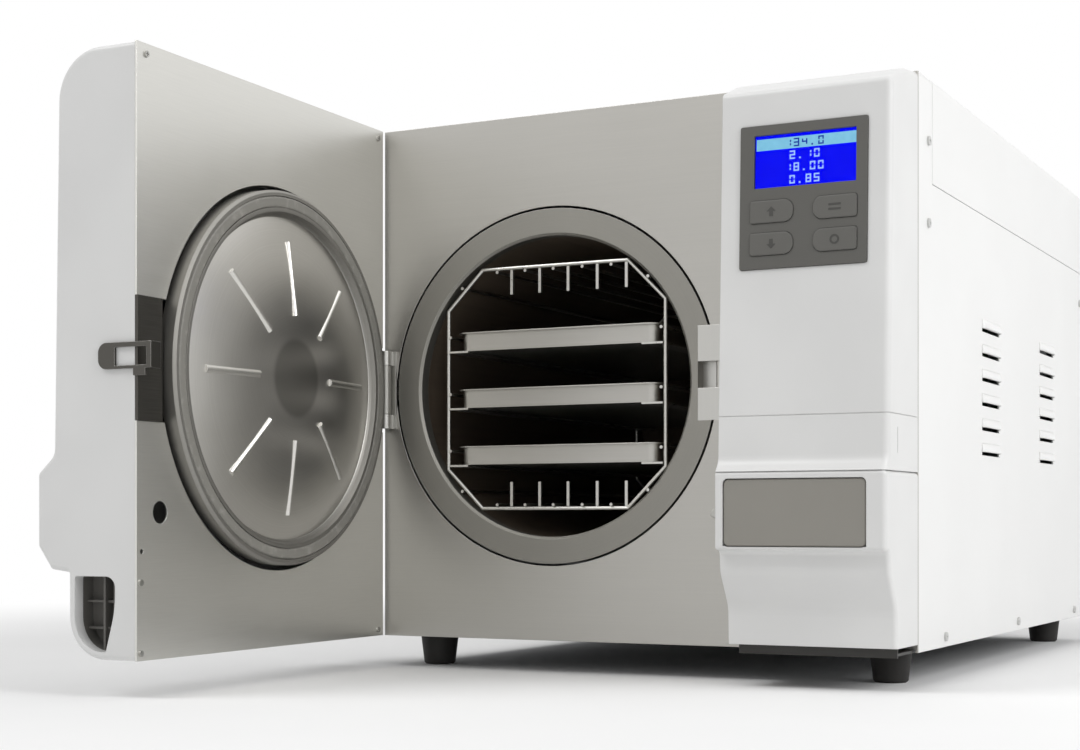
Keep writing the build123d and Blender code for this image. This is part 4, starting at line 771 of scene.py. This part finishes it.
# Circuit board and paper roll: a green board etched with fine tracks stands on posts inside the side panel.
# A roll of thermal paper lies behind the flap and shows its layers as fine lines.
board = Finish("circuit_board", Roughness=0.45)
tracks = board.grain((20.0, 380.0, 380.0), detail=1.0).between(0.52, 0.56)
board_face = board.blend(tracks, tone(12, 78, 44), tone(40, 128, 80))
dress(board.wear(board_face, 0.4 + tracks * 0.1), "main_board")

paper = Finish("thermal_paper", Roughness=0.8)
layers = paper.grain((30.0, 700.0, 700.0), detail=2.0)
dress(paper.wear(paper.blend(layers, tone(222, 222, 216), tone(244, 244, 240))), "paper_roll")


# Studio: a plain pale floor that runs out to white under a white surround, which lights the part at a
# plain level and looks full white to the camera. Three soft lamps stand to the left, to the right and above.
FLOOR_REACH = 12.0
WHITE_FROM = 0.55
WHITE_BY = 1.5
SURROUND_LIGHT = 0.43


def seen_by(shading, *kinds):
    """1 for rays of these kinds, 0 for the rays that carry light to the part."""
    rays = shading.node("ShaderNodeLightPath")
    seen = Field(shading, rays.outputs[kinds[0]])
    for kind in kinds[1:]:
        seen = seen.math("MAXIMUM", seen, rays.outputs[kind])
    return seen


def on_floor(u, v):
    return (2 * u - 1) * FLOOR_REACH, (2 * v - 1) * FLOOR_REACH, 0


floor_mesh = bmesh.new()
surface_grid(floor_mesh, on_floor, columns=8, rows=8)
floor_data = bpy.data.meshes.new("floor")
floor_mesh.to_mesh(floor_data)
floor_mesh.free()
floor = bpy.data.objects.new("floor", floor_data)
bpy.context.scene.collection.objects.link(floor)
ground = Finish("pale_floor", Roughness=0.9, Specular_IOR_Level=0.0)
speck = ground.grain(3.0, detail=2.0)
ground.wear(ground.blend(speck, tone(240, 240, 240), tone(246, 246, 246)))
far = distance(ground, (0, 0, 0), "XY").between(WHITE_FROM, WHITE_BY)
seen_far = far * seen_by(ground, "Is Camera Ray", "Is Glossy Ray")
white = ground.node("ShaderNodeEmission", None, {"Color": (1, 1, 1, 1), "Strength": 1.0})
sockets = {0: seen_far, 1: ground.surface.outputs[0], 2: white.outputs[0]}
mixed = ground.node("ShaderNodeMixShader", None, sockets)
ground.feed(ground.tree.nodes["Material Output"].inputs["Surface"], mixed.outputs[0])
floor_data.materials.append(ground.material)

world = bpy.data.worlds.new("studio")
bpy.context.scene.world = world
world.use_nodes = True
surround = Shading(world.node_tree)
sky = surround.tree.nodes["Background"]
surround.feed(sky.inputs["Color"], (1, 1, 1, 1))
seen = seen_by(surround, "Is Camera Ray", "Is Glossy Ray", "Is Transmission Ray")
surround.feed(sky.inputs["Strength"], SURROUND_LIGHT + seen * (1 - SURROUND_LIGHT))


def lamp(name, place, aim, size, power):
    """A soft square lamp, its size in metres and its power in watts."""
    light = bpy.data.lights.new(name, "AREA")
    light.shape = "SQUARE"
    light.size = size
    light.energy = power
    made = bpy.data.objects.new(name, light)
    made.location = place
    made.rotation_mode = "QUATERNION"
    made.rotation_quaternion = (Vector(aim) - Vector(place)).to_track_quat("-Z", "Y")
    bpy.context.scene.collection.objects.link(made)


lamp("key_lamp", place=(-1.4, -1.8, 2.8), aim=(-0.1, -0.2, 0.2), size=1.4, power=36)
lamp("side_lamp", place=(2.6, -0.5, 1.6), aim=(0.2, 0.0, 0.25), size=1.8, power=42)
lamp("top_lamp", place=(0.1, 0.2, 2.8), aim=(0.0, 0.0, 0.3), size=2.2, power=13)


# Camera: level, low in front of the machine and turned towards the door from the control side. Its long
# lens is shifted up, so that the upright edges stay upright.
CAMERA_PLACE = (0.6500, -1.4875, 0.1233)
CAMERA_TURN = math.radians(27.5)

camera_data = bpy.data.cameras.new("camera")
camera_data.sensor_width = 36.0
camera_data.lens = 60.7
camera_data.shift_y = 0.136
camera_data.clip_end = 60.0
camera = bpy.data.objects.new("camera", camera_data)
camera.location = CAMERA_PLACE
camera.rotation_euler = (math.radians(90), 0, CAMERA_TURN)
bpy.context.scene.collection.objects.link(camera)
bpy.context.scene.camera = camera
bpy.context.scene.view_settings.view_transform = "Standard"
